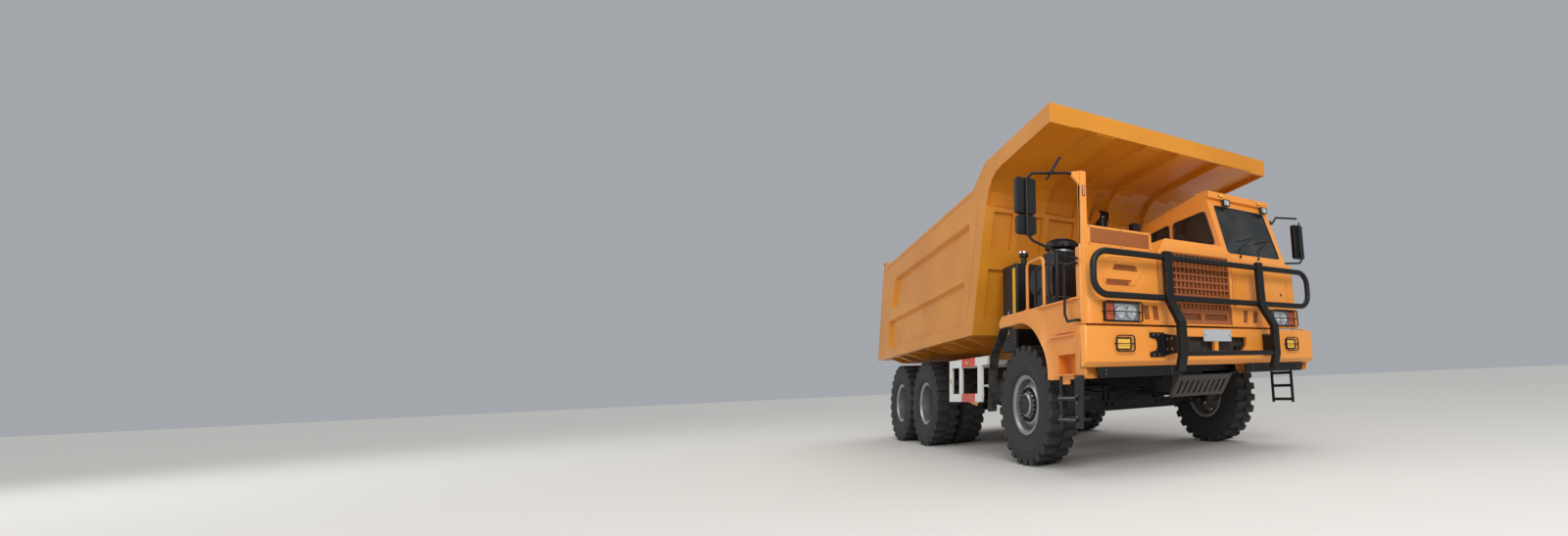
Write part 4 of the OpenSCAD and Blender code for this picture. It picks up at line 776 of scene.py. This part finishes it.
@dataclass
class BumperFittings:
    """The plain plate, a black sheet behind the bumper's openings as painted shade, and the bull bar's bolts."""

    plate_y: Pair = (-200.0, 240.0)
    plate_z: Pair = (1340.0, 1477.0)
    edge: float = 5.0
    bracket_y: float = 802.0

    def build(self) -> None:
        """Builds the plate and the fasteners."""
        (y0, y1), (z0, z1), edge = self.plate_y, self.plate_z, self.edge
        plate = Piece("plain_plate", PLATE).block((1660, y0, z0), (1664, y1, z1), 1.5)
        for a, b, c, d in ((y0, y1, z0, z0 + edge), (y0, y1, z1 - edge, z1), (y0, y0 + edge, z0, z1),
                           (y1 - edge, y1, z0, z1)):
            plate.block((1663, a, c), (1666.5, b, d), 1)
        plate.done()
        bolts = bolt_set("front_bolts")
        bolts.bolts([at(1664, y, 1408) for y in (y0 + 26, y1 - 26)], X, 14, 5)
        for s in SIDES:
            bolts.bolts([at(1678, s * y, z) for y in (935, 870) for z in (1196, 1404)], X, 22, 9)
            bolts.bolts([at(x, s * self.bracket_y, z) for x in (1740, 1820) for z in (1245, 1355)], s * Y, 24, 10)
            bolts.bolts([at(1596, s * y, z) for y in (640, 1500) for z in (1010, 1050)], X, 16, 6)
        bolts.done()
        # A black sheet behind the bumper's openings: painted shade, so that the openings read dark.
        Piece("bumper_backing", BLACK_PLASTIC).block((1561, -540, 1190), (1564, 555, 1420), 1).done()


@dataclass
class Windscreen:
    """The windscreen's seal and black border, and its two wipers."""

    low: Pair = (530.0, 1520.0)
    high: Pair = (550.0, 1500.0)
    rise: Pair = (64.0, 788.0)
    border: float = 55.0
    pivots: Pair = (725.0, 1063.0)
    pivot_up: float = 18.0

    @staticmethod
    def point(y: float, up: float, out: float) -> Vector:
        """Returns a point by its place across, up and out of the windscreen's plane, in millimetres."""
        rise, face = Vector((-260, 0, 790)).normalized(), Vector((790, 0, 260)).normalized()
        return at(1450, y, 2420) + (rise * up + face * out) * MM

    def _ring(self, inner: float) -> list[Pair]:
        """Returns the opening's corners, drawn in by a distance, as (across, up)."""
        (a, b), (c, d), (e, f) = self.low, self.high, self.rise
        return [(a + inner, e + inner), (b - inner, e + inner), (d - inner, f - inner), (c + inner, f - inner)]

    def build(self) -> None:
        """Builds the seal, the border and the wipers."""
        outer, inner = self._ring(0), self._ring(self.border)
        line = cut_corners(outer, 45, ((1, 0), (0.125, 0.125), (0, 1)))
        Piece("windscreen_seal", SEAL).tube([self.point(*place, -10) for place in line], 9, closed=True).done()
        border = Piece("windscreen_border", BLACK_PLASTIC)
        thickness = self.point(0, 0, 1.4) - self.point(0, 0, 0)
        for k in range(4):
            ring = [outer[k], outer[(k + 1) % 4], inner[(k + 1) % 4], inner[k]]
            border.plate([self.point(*place, -22) for place in ring], thickness, 0)
        border.done()
        wipers = Piece("wipers", BLACK_PAINT)
        for y in self.pivots:
            wipers.rod(self.point(y, self.pivot_up, 2), self.point(y, self.pivot_up, 22), 17, 13, bevel=2)
            arm = (y, self.pivot_up, 16), (y + 60, 150, 18), (y + 330, 330, 4)
            wipers.tube([self.point(*place) for place in arm], 7, 80)
            wipers.tube([self.point(y + 40, 262, -6), self.point(y + 410, 360, -6)], 5)
        wipers.done()


@dataclass
class CabTrim:
    """Window seals, the door's handle, a grab rail, the roof's gutters and two small caps."""

    inner_y: float = 448.0
    door_y: float = 1602.0
    windows: tuple[tuple[Pair, ...], ...] = (
        ((460, 2620), (1290, 2620), (1130, 3090), (490, 3075)), ((-30, 2640), (400, 2640), (400, 3075), (-40, 3035)))
    door_window: tuple[Pair, ...] = ((400, 2420), (1110, 2420), (970, 3010), (400, 2960))
    rail_x: float = 255.0
    rail_z: Pair = (1700.0, 2600.0)
    gutter_y: Pair = (456.0, 1594.0)

    @staticmethod
    def _seal(piece: Piece, corners: Sequence[Pair], y: float) -> None:
        """Adds a seal round a window's corners on the plane at y."""
        line = cut_corners(corners, 50, [((1 - t) ** 2, t ** 2) for t in (0, 0.33, 0.67, 1)])
        piece.tube([at(x, y, z) for x, z in line], 8, closed=True)

    def build(self) -> None:
        """Builds the cab's trim on the shell and on the door."""
        seals = Piece("window_seals", SEAL)
        for corners in self.windows:
            self._seal(seals, corners, self.inner_y)
        seals.done()
        door_seal = Piece("door_window_seal", SEAL, "cab_door")
        self._seal(door_seal, self.door_window, self.door_y)
        door_seal.done()
        handle = Piece("door_handle", BLACK_PLASTIC, "cab_door")
        handle.tray((400, 1598, 2150), (560, 1605, 2240), 10, 4, Axis.Y)
        handle.tube([at(x, y, 2200) for x, y in ((415, 1604), (425, 1626), (535, 1626), (545, 1604))], 9, 20)
        handle.rod(at(480, 1600, 2120), at(480, 1609, 2120), 14, bevel=2)
        handle.done()
        rails = Piece("entry_rails", BLACK_PAINT)
        x, (z0, z1) = self.rail_x, self.rail_z
        rails.tube([at(x, y, z) for y, z in ((1600, z0), (1650, z0), (1650, z1), (1600, z1))], 15, 50)
        for z in self.rail_z:
            rails.rod(at(x, 1600, z), at(x, 1606, z), 32, bevel=2)
        rails.done()
        seams = Piece("roof_gutters", CAB_PAINT)
        for y in self.gutter_y:
            seams.tube([at(-190, y, 3206), at(940, y, 3338)], 7)
        seams.done()
        trim = Piece("cab_small_parts", BLACK_PLASTIC)
        trim.rod(at(1551, 1330, 1960), at(1560, 1330, 1960), 17, bevel=3)
        trim.rod(at(1554, 1500, 1500), at(1566, 1500, 1500), 14, bevel=2)
        trim.done()


@dataclass
class DriverSeat:
    """A sprung seat: a base with bellows, a cushion with bolsters and a backrest with a headrest."""

    middle: float = 1140.0
    channel: float = 0.58
    channel_width: float = 0.09
    channel_depth: float = 0.22

    def pad(self, name: str, centre: Point, size: Point, crown: float, tilt: float = 0.0) -> None:
        """Builds a crowned pad with bulged sides and a sewn channel down each side.

        Args:
            name: the pad's name.
            centre: its middle, in millimetres.
            size: its length, width and thickness.
            crown: how far its top swells.
            tilt: its turn about Y, in degrees.
        """
        pad = Piece(name, CLOTH, crease=180)
        shape = pad.shape
        bmesh.ops.create_cube(shape, size=1)
        bmesh.ops.subdivide_edges(shape, edges=shape.edges, cuts=7, use_grid_fill=True)
        for vert in shape.verts:
            x, y, z = (2 * c for c in vert.co)
            if z > 0.5:
                vert.co.z += crown / size[2] * (1 - x ** 4) * (1 - y ** 4)
            if z > 0.9:
                groove = math.exp(-((abs(y) - self.channel) / self.channel_width) ** 2)
                vert.co.z -= self.channel_depth * groove * (1 - x ** 8)
            bulge = 1 + 0.07 * (1 - z * z)
            vert.co.x *= (1 - 0.05 * y * y) * bulge
            vert.co.y *= bulge
        place = Matrix.Translation(at(*centre)) @ Matrix.Rotation(math.radians(tilt), 4, "Y")
        bmesh.ops.transform(shape, matrix=place @ Matrix.Diagonal((*(v * MM for v in size), 1)), verts=shape.verts)
        made = pad.done(subdivide=1)

    def build(self) -> None:
        """Builds the base and the pads."""
        y = self.middle
        base = Piece("seat_base", BLACK_PLASTIC)
        base.block((440, y - 170, 1596), (790, y + 170, 1640), 6)
        for k in range(6):
            waist, z = 6 * (k % 2), 1640 + 40 * k
            base.block((455 + waist, y - 155 + waist, z), (775 - waist, y + 155 - waist, z + 42), 10)
        base.block((400, y - 200, 1878), (830, y + 200, 1908), 8)
        base.rod(at(400, y - 228, 1930), at(560, y - 228, 1930), 16, bevel=4)
        for way in (-1, 1):
            base.block((360, y + way * 222 - 8, 1890), (440, y + way * 222 + 8, 2130), 6)
            base.rod(at(400, y + way * 208, 2010), at(400, y + way * 236, 2010), 34, bevel=4)
        base.done("seat")
        self.pad("seat_cushion", (612, y, 1962), (480, 460, 112), 16)
        self.pad("seat_backrest", (376, y, 2306), (560, 430, 100), 14, 98)
        self.pad("seat_headrest", (322, y, 2655), (150, 250, 80), 10, 98)


@dataclass
class Wheel:
    """What is fixed to one wheel or pair: nuts, hub bolts, valve stem and ribs moulded in the sidewalls."""

    body: str
    x: float
    side: Side
    track: float
    nut_radius: float
    nut_height: float
    hub_radius: float
    hub_height: float
    tyres: tuple[float, ...] = (0.0,)
    nuts: int = 20
    hub_bolts: int = 12
    valve_angle: float = 62.0
    axle_z: float = 705.0
    ribs: tuple[Pair, ...] = ((388, 172), (452, 187), (560, 190))

    def point(self, radius: float, angle: float, height: float) -> Vector:
        """Returns a point by its radius, angle in degrees and distance outwards from the wheel's middle plane."""
        turn = math.radians(angle)
        return at(self.x + radius * math.cos(turn), self.side.value * (self.track + height),
                  self.axle_z + radius * math.sin(turn))

    def build(self) -> None:
        """Builds the wheel's fasteners and sidewall ribs."""
        s, hub_r, nut_r, nut_h = self.side.value, self.hub_radius, self.nut_radius, self.nut_height
        out = s * Y
        cap = ((0, 0), (hub_r + 20, 0), (hub_r + 24, 3), (hub_r + 14, 5), (hub_r - 22, 5), (hub_r - 30, 2), (0, 2))
        ring = ((nut_r - 24, 0), (nut_r + 26, 0), (nut_r + 24, 2.5), (nut_r - 24, 2.5))
        hub = Piece("hub_" + self.body, BLACK_PAINT, self.body, crease=30)
        for height, profile, steps in ((self.hub_height, cap, 48), (nut_h, ring, 64)):
            hub.turned(self.point(0, 0, height + 0.4), Y, [(r, s * h) for r, h in profile], steps)
        hub.done()
        nuts = Piece("nuts_" + self.body, CAST, self.body, crease=30)
        for k in range(self.nuts):
            foot = self.point(nut_r, 360 * (k + 0.5) / self.nuts, nut_h)
            for low, high, radius, radius_b, steps in ((-1, 4, 19, 19, 16), (3.5, 26, 16, 15, 6), (25, 38, 9, 8, 10)):
                nuts.rod(foot + out * low * MM, foot + out * high * MM, radius, radius_b, steps)
        heads = [self.point(hub_r, 360 * k / self.hub_bolts, self.hub_height) for k in range(self.hub_bolts)]
        nuts.bolts(heads, out, 15, 8)
        nuts.done()
        stem = Piece("valve_" + self.body, CHROME, self.body)
        foot, neck, tip = (self.point(r, self.valve_angle, nut_h + h) for r, h in ((290, -30), (286, 20), (286, 30)))
        stem.tube([foot, neck], 4.5, 10)
        stem.rod(neck, tip, 6.5, bevel=1)
        stem.done()
        ribs = Piece("sidewall_ribs_" + self.body, RUBBER, self.body)
        for tyre in self.tyres:
            for way in (-1, 1):
                for radius, half in self.ribs:
                    centre = at(self.x, s * (self.track + tyre) + way * half, self.axle_z)
                    ridge = [(radius - 5, -4 * way), (radius, 4 * way), (radius + 5, -4 * way)]
                    ribs.turned(centre, Y, ridge, 60)
        ribs.done()


@dataclass
class RunningGear:
    """Brake chambers, air tanks, wheels' fittings, springs' clips and the hoist's pipe."""

    rear_axles: Pair = (-3800.0, -5300.0)
    clip_x: Pair = (-62.0, 62.0)
    clip_y: Pair = (368.0, 467.0)
    tank_y: float = 640.0
    tank_z: float = 1090.0
    chamber_y: float = 420.0

    def build(self) -> None:
        """Builds the running gear's fittings and every wheel's."""
        for side in Side:
            word = side.name.lower()
            Wheel("front_wheel_" + word, 0, side, 1455, 183, 112, 92, 165).build()
            for row, x in zip(("middle", "rear"), self.rear_axles):
                Wheel(f"{row}_wheels_{word}", x, side, 1466, 212, -204, 142, -52, (0.0, -440.0)).build()
        clips = Piece("spring_clips", CAST)
        inner, outer = self.clip_y
        for s in SIDES:
            feet = [at(x, s * y, 640) for x in self.clip_x for y in self.clip_y]
            for foot in feet:
                clips.rod(foot, foot + 240 * MM * Z, 11)
            for x in self.clip_x:
                arch = ((inner, 880), (inner, 894), (outer, 894), (outer, 880))
                clips.tube([at(x, s * y, z) for y, z in arch], 11, 12)
            clips.bolts(feet, -Z, 26, 14)
        clips.done()
        tanks, straps = Piece("air_tanks", BLACK_PAINT), Piece("air_tank_straps", STEEL)
        z = self.tank_z
        for s in SIDES:
            y = s * self.tank_y
            tanks.rod(at(-2950, y, z), at(-2350, y, z), 108, steps=40, bevel=26)
            for x in (-2840, -2460):
                straps.turned(at(x, y, z), X, [(107, -18), (112, -18), (112, 18), (107, 18)], 40)
                straps.block((x - 18, s * 465, z - 50), (x + 18, s * 560, z + 50))
        tanks.done()
        straps.done()
        chambers = Piece("brake_chambers", BLACK_PAINT)
        for x in self.rear_axles:
            for y in (s * self.chamber_y for s in SIDES):
                chambers.turned(at(x + 185, y, 860), X, [(0, -60), (60, -56), (74, -30), (74, -6), (82, -6), (82, 6),
                                                         (74, 6), (74, 34), (56, 62), (0, 66)], 32)
                chambers.block((x + 60, y - 22, 790), (x + 140, y + 22, 850), 4)
        chambers.done()
        line = ((-750, -898, 1480), (-750, -760, 1480), (-750, -600, 1420), (-700, -360, 1370), (-640, -210, 1350),
                (-625, -190, 1284))
        Piece("hoist_pipe", BLACK_PAINT).tube([at(*place) for place in line], 20, 120).done()


@dataclass
class SideFittings:
    """Fittings between the cab and the dump body and along the truck's sides."""

    intake: Pair = (430.0, -1300.0)
    intake_ribs: int = 32
    duct_rings: int = 16
    rail_x: Pair = (330.0, 744.0)
    stack: Pair = (-300.0, 365.0)
    lid: Pair = (-800.0, -1150.0)
    lamp_y: float = 235.0

    def air_intake(self) -> None:
        """Builds the air cleaner's bands, door, cap and duct."""
        bands = Piece("air_cleaner_bands", STEEL)
        outline = ((298, -1470), (350, -1522), (590, -1522), (642, -1470), (642, -1130), (590, -1078), (350, -1078),
                   (298, -1130))
        for z in (1930, 2330):
            bands.tube([at(*place, z) for place in outline], 5, closed=True)
        bands.turned(at(*self.intake, 2506), Z, [(148, -12), (156, -12), (156, 12), (148, 12)])
        bands.turned(at(*self.intake, 2664), Z, [(0, 0), (60, -1), (120, -6), (120, -3), (60, 2), (0, 3)], 40)
        bands.done()
        cover = Piece("air_cleaner_door", BLACK_PLASTIC).block((340, -1556, 1950), (600, -1521, 2300), 14)
        for z in (2000, 2250):
            for x in (352, 588):
                cover.block((x - 14, -1562, z - 22), (x + 14, -1550, z + 22))
        cover.done()
        ribs = Piece("intake_cap_vents", BLACK_PLASTIC)
        for k in range(self.intake_ribs):
            turn = math.tau * k / self.intake_ribs
            out = 190 * MM * Vector((math.cos(turn), math.sin(turn), 0))
            ribs.rod(at(*self.intake, 2540) + out, at(*self.intake, 2606) + out, 8, steps=8)
        ribs.done()
        profile = [(0, 0), (78, 0)]
        for start in (20 * k for k in range(self.duct_rings)):
            profile += [(78, start + 8), (86, start + 14), (78, start + 20)]
        profile += [(78, 342), (0, 342)]
        Piece("intake_duct", SEAL).turned(at(470, -1079, 2240), Y, profile).done()

    def deck(self) -> None:
        """Builds the deck's rail and the marker on its leg."""
        x0, x1 = self.rail_x
        rail = Piece("deck_rail", CAB_PAINT)
        rail.tube([at(x, -1720, z) for x, z in ((x0, 1800), (x0, 2360), (x1, 2360), (x1, 1800))], 18, 90)
        for x in self.rail_x:
            rail.block((x - 32, -1748, 1799.5), (x + 32, -1692, 1808), 2)
        rail.done()
        Piece("leg_marker", ALLOY).block((1478, -1719, 1354), (1530, -1709, 1392), 5).done()

    def tanks(self) -> None:
        """Builds the fittings of the hydraulic tank and the fuel tank."""
        Piece("tank_strip", YELLOW_PAINT).block((-590, -1483, 1700), (-505, -1479.5, 2480), 1).done()
        tank = Piece("tank_fittings", CHROME)
        tank.turned(at(-620, -1300, 2700), Z, [(0, 0), (60, 0), (66, 6), (66, 26), (54, 34), (0, 36)])
        tank.rod(at(-700, -1484, 1620), at(-700, -1484, 1900), 12)
        for z in (1620, 1900):
            tank.rod(at(-700, -1478, z), at(-700, -1502, z), 18, bevel=3)
        tank.done()
        profile = [(0, 0), (112, 0), (112, 9), (84, 12), (84, 46), (70, 58), (0, 60)]
        Piece("tank_lid", BLACK_PAINT).turned(at(*self.lid, 2540), Z, profile, 40).done()
        bolts = bolt_set("tank_bolts")
        ring = [math.tau * k / 8 for k in range(8)]
        bolts.bolts([at(*self.lid, 2549) + 98 * MM * Vector((math.cos(a), math.sin(a), 0)) for a in ring], Z, 14, 6)
        bolts.bolts([at(x, -1482, z) for x in (-905, -525) for z in (1500, 1540)], -Y, 16, 6)
        bolts.done()
        straps = Piece("fuel_tank_straps", STEEL)
        outline = ((710, 558), (1330, 558), (1402, 630), (1402, 1110), (1330, 1182), (710, 1182), (638, 1110),
                   (638, 630))
        for x in (-1940, -1560, -1230):
            straps.tube([at(x, *place) for place in outline], 7, closed=True)
        straps.turned(at(-1400, 1250, 1181), Z, [(0, 0), (58, 0), (58, 22), (66, 24), (66, 44), (0, 50)])
        straps.done()

    def guard_bands(self) -> None:
        """Builds the red bands round the guards' rails and the gusset under the right guard."""
        bands = Piece("guard_bands", RED_PAINT)
        for s in SIDES:
            for z0, z1 in ((741.5, 854.5), (1223.5, 1336.5)):
                bands.block((-1700, s * 1733.5, z0), (-1200, s * 1766.5, z1), 1.5)
        bands.done()
        outline = [at(x, -1745, z) for x, z in ((-1500, 742), (-1130, 742), (-1200, 690))]
        Piece("guard_gusset", BODY_PAINT).plate(outline, 10 * MM * Y, 1).done()

    def ladders(self) -> None:
        """Builds the studs and pale edges of the treads and the hangers' bolts."""
        treads = Piece("tread_studs", STEEL)
        studs = []
        for z in (780, 565):
            treads.block((1044, -1748, z + 4), (1396, -1744, z + 16), 1.5)
            studs += [((1064 + k * 31 + 8 * (row % 2), -1715 + row * 42, z + 14.5), 8, 5)
                      for row in range(4) for k in range(11)]
        studs += [((1115 + k * 36, 1590, z + 17.5), 7, 4) for z in (600, 780, 950) for k in range(8)]
        for place, radius, top in studs:
            treads.rod(at(*place), at(*place) + 4 * MM * Z, radius, top, steps=10)
        treads.done()
        bolts = bolt_set("hanger_bolts")
        bolts.bolts([at(x, -1722.5, z) for x in (1064, 1400) for z in (995, 810, 740, 600)], -Y, 18, 7)
        bolts.bolts([at(x, -1710, 1340) for x in (1480, 1520)], -Y, 12, 4)
        bolts.done()

    def rear_lamps(self) -> None:
        """Builds the tail lamps on the rear crossmember."""
        boxes = Piece("tail_lamp_boxes", BLACK_PLASTIC)
        red = Piece("tail_lamp_lenses", RED_LENS)
        amber = Piece("rear_turn_lenses", AMBER_LENS)
        for y in (s * self.lamp_y for s in SIDES):
            boxes.block((-5812, y - 62, 1175), (-5780, y + 62, 1248), 4)
            for lens, left, right in ((red, -56, 8), (amber, 10, 56)):
                lens.block((-5822, y + left, 1181), (-5810, y + right, 1242), 4)
        for piece in (boxes, red, amber):
            piece.done()

    def build(self) -> None:
        """Builds all the fittings, and the exhaust stack's shield."""
        self.air_intake()
        self.deck()
        self.tanks()
        self.guard_bands()
        self.ladders()
        self.rear_lamps()
        cowl = Piece("stack_shield", STEEL)
        for foot, inner, outer, height in ((2300, 46, 62, 560), (2900, 42.5, 56, 40)):
            cowl.turned(at(*self.stack, foot), Z, [(inner, 0), (outer, 0), (outer, height), (inner, height)], 40)
        cowl.done()


@dataclass
class MirrorGlass:
    """The glass and rims of the mirror heads, each by its rear face's x, its span of y and its span of z."""

    heads: tuple[tuple[float, ...], ...] = (
        (1380, -2370, -2155, 2605, 2975), (1380, -2360, -2155, 2400, 2590), (1145, 2160, 2370, 2600, 3110))
    rim: Pair = (5.0, 16.0)
    corner: float = 30.0

    def build(self) -> None:
        """Builds the glasses on the rear faces of the mirror heads."""
        glass, rims = Piece("mirror_glass", MIRROR), Piece("mirror_rims", BLACK_PLASTIC)
        (outer, inner), stop = self.rim, self.corner
        for x, y0, y1, z0, z1 in self.heads:
            glass.block((x - 2.5, y0 + inner, z0 + inner), (x + 1, y1 - inner, z1 - inner), 0.8)
            for z in (z0 + outer, z1 - inner):
                rims.block((x - 5, y0 + stop, z), (x + 1, y1 - stop, z + inner - outer), 2)
            for y in (y0 + outer, y1 - inner):
                rims.block((x - 5, y, z0 + stop), (x + 1, y + inner - outer, z1 - stop), 2)
        glass.done()
        rims.done()


@dataclass
class BodyFittings:
    """Bolts, pads and pins of the dump body, its tailgate and its hoist."""

    gate_bolts: int = 14
    rod_x: float = -620.0
    rod_radius: float = 75.0
    rod_z: Pair = (2938.0, 3375.0)
    eye_z: float = 3420.0
    pad_x: tuple[float, ...] = (-1700.0, -2900.0, -4100.0)

    def build(self) -> None:
        """Builds the dump body's fittings."""
        bolts = bolt_set("gate_bolts", "tailgate")
        caps = Piece("gate_pin_caps", CAST, "dump_body")
        shares = [(k + 0.7) / (self.gate_bolts + 0.4) for k in range(self.gate_bolts)]
        for s in SIDES:
            bolts.bolts([at(-6504 + 343 * t, s * 1775, 1580 + 1856 * t) for t in shares], s * Y, 20, 6)
            caps.turned(at(-6150, s * 1764, 3530), s * Y, [(0, 0), (44, 0), (44, 8), (30, 11), (0, 11)], 28)
        bolts.done()
        caps.done()
        eye = Piece("hoist_eye_paint", BLACK_PAINT, "hoist_rod")
        r, (low, high) = self.rod_radius, self.rod_z
        eye.turned(at(self.rod_x, 0, 0), Z, [(r, low), (r + 3, low + 2), (r + 3, high), (r, high)])
        eye.turned(at(self.rod_x, 0, self.eye_z), Y, [(70, -80), (72, -80), (72, 80), (70, 80)])
        eye.done()
        pads = Piece("body_rest_pads", FLAP_RUBBER)
        for x in self.pad_x:
            for s in SIDES:
                pads.block((x, s * 380, 1300), (x + 260, s * 455, 1304.5), 1)
        pads.done()


def build_camera() -> bpy.types.Object:
    """Makes the camera at the photograph's place, turn and lens.

    Returns:
        The camera object.
    """
    focal_px, centre_px = 598.107, (1161.53, 300.25)
    heading, pitch, roll = (math.radians(a) for a in (142.971, 8.332, -2.546))
    width, height = PHOTO_SIZE
    data = bpy.data.cameras.new("camera")
    data.sensor_width = 36.0
    data.lens = focal_px / width * data.sensor_width
    data.shift_x = (width / 2 - centre_px[0]) / width
    data.shift_y = (centre_px[1] - height / 2) / width
    data.clip_end = 500
    forward = Vector((math.cos(heading) * math.cos(pitch), math.sin(heading) * math.cos(pitch), math.sin(pitch)))
    level = Vector((math.sin(heading), -math.cos(heading), 0))
    upright = level.cross(forward)
    right = math.cos(roll) * level + math.sin(roll) * upright
    up = -math.sin(roll) * level + math.cos(roll) * upright
    camera = bpy.data.objects.new("camera", data)
    turn = Matrix((right, up, -forward)).transposed().to_4x4()
    camera.matrix_world = Matrix.Translation(at(6535, -4775, 937)) @ turn
    bpy.context.scene.collection.objects.link(camera)
    bpy.context.scene.camera = camera
    return camera


def build_stage() -> None:
    """Makes the pale floor, the pale surroundings and the soft lights."""
    mesh = bpy.data.meshes.new("floor")
    shape = bmesh.new()
    bmesh.ops.create_circle(shape, cap_ends=True, radius=180, segments=96)
    shape.to_mesh(mesh)
    floor = bpy.data.objects.new("floor", mesh)
    bpy.context.scene.collection.objects.link(floor)
    pale = bpy.data.materials.new("pale_floor")
    pale.use_nodes = True
    Shading(pale.node_tree).fill({"Base Color": linear("#d5d2cc"), "Roughness": 0.9})
    mesh.materials.append(pale)
    world = bpy.data.worlds.new("studio")
    world.use_nodes = True
    background = world.node_tree.nodes["Background"]
    background.inputs["Color"].default_value = linear("#dfe4ea")
    background.inputs["Strength"].default_value = 0.5
    bpy.context.scene.world = world
    for name, kind, place, size, power in (("key", "AREA", (15.0, -5.0, 8.5), 8.0, 1340.0),
                                           ("side", "AREA", (-5.0, -15.0, 8.0), 9.0, 620.0),
                                           ("top", "SUN", (0.0, 2.0, 16.0), 0.9, 1.05)):
        data = bpy.data.lights.new(name, kind)
        data.energy = power
        if kind == "SUN":
            data.angle = size
        else:
            data.shape, data.size = "DISK", size
        light = bpy.data.objects.new(name, data)
        light.location = place
        light.rotation_euler = (1.5 * Z - light.location).to_track_quat("-Z", "Y").to_euler()
        bpy.context.scene.collection.objects.link(light)
    bpy.context.scene.view_settings.view_transform = "Standard"


def dress_nodes() -> None:
    """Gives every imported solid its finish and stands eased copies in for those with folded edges."""
    for name, node in frame["nodes"].items():
        node.data.materials.clear()
        node.data.materials.append(NODE_FINISH[name].material())
    for name, width in EASED.items():
        EasedNode(name, width).build()


def main() -> None:
    """Builds the scene in order."""
    logging.basicConfig(level=logging.INFO, format="%(name)s: %(message)s")
    build_camera()
    build_stage()
    dress_nodes()
    for group in (FrontLighting(), GrilleAndPanels(), BumperFittings(), Windscreen(), CabTrim(), DriverSeat(),
                  RunningGear(), SideFittings(), MirrorGlass(), BodyFittings()):
        group.build()


if __name__ == "__main__":
    main()
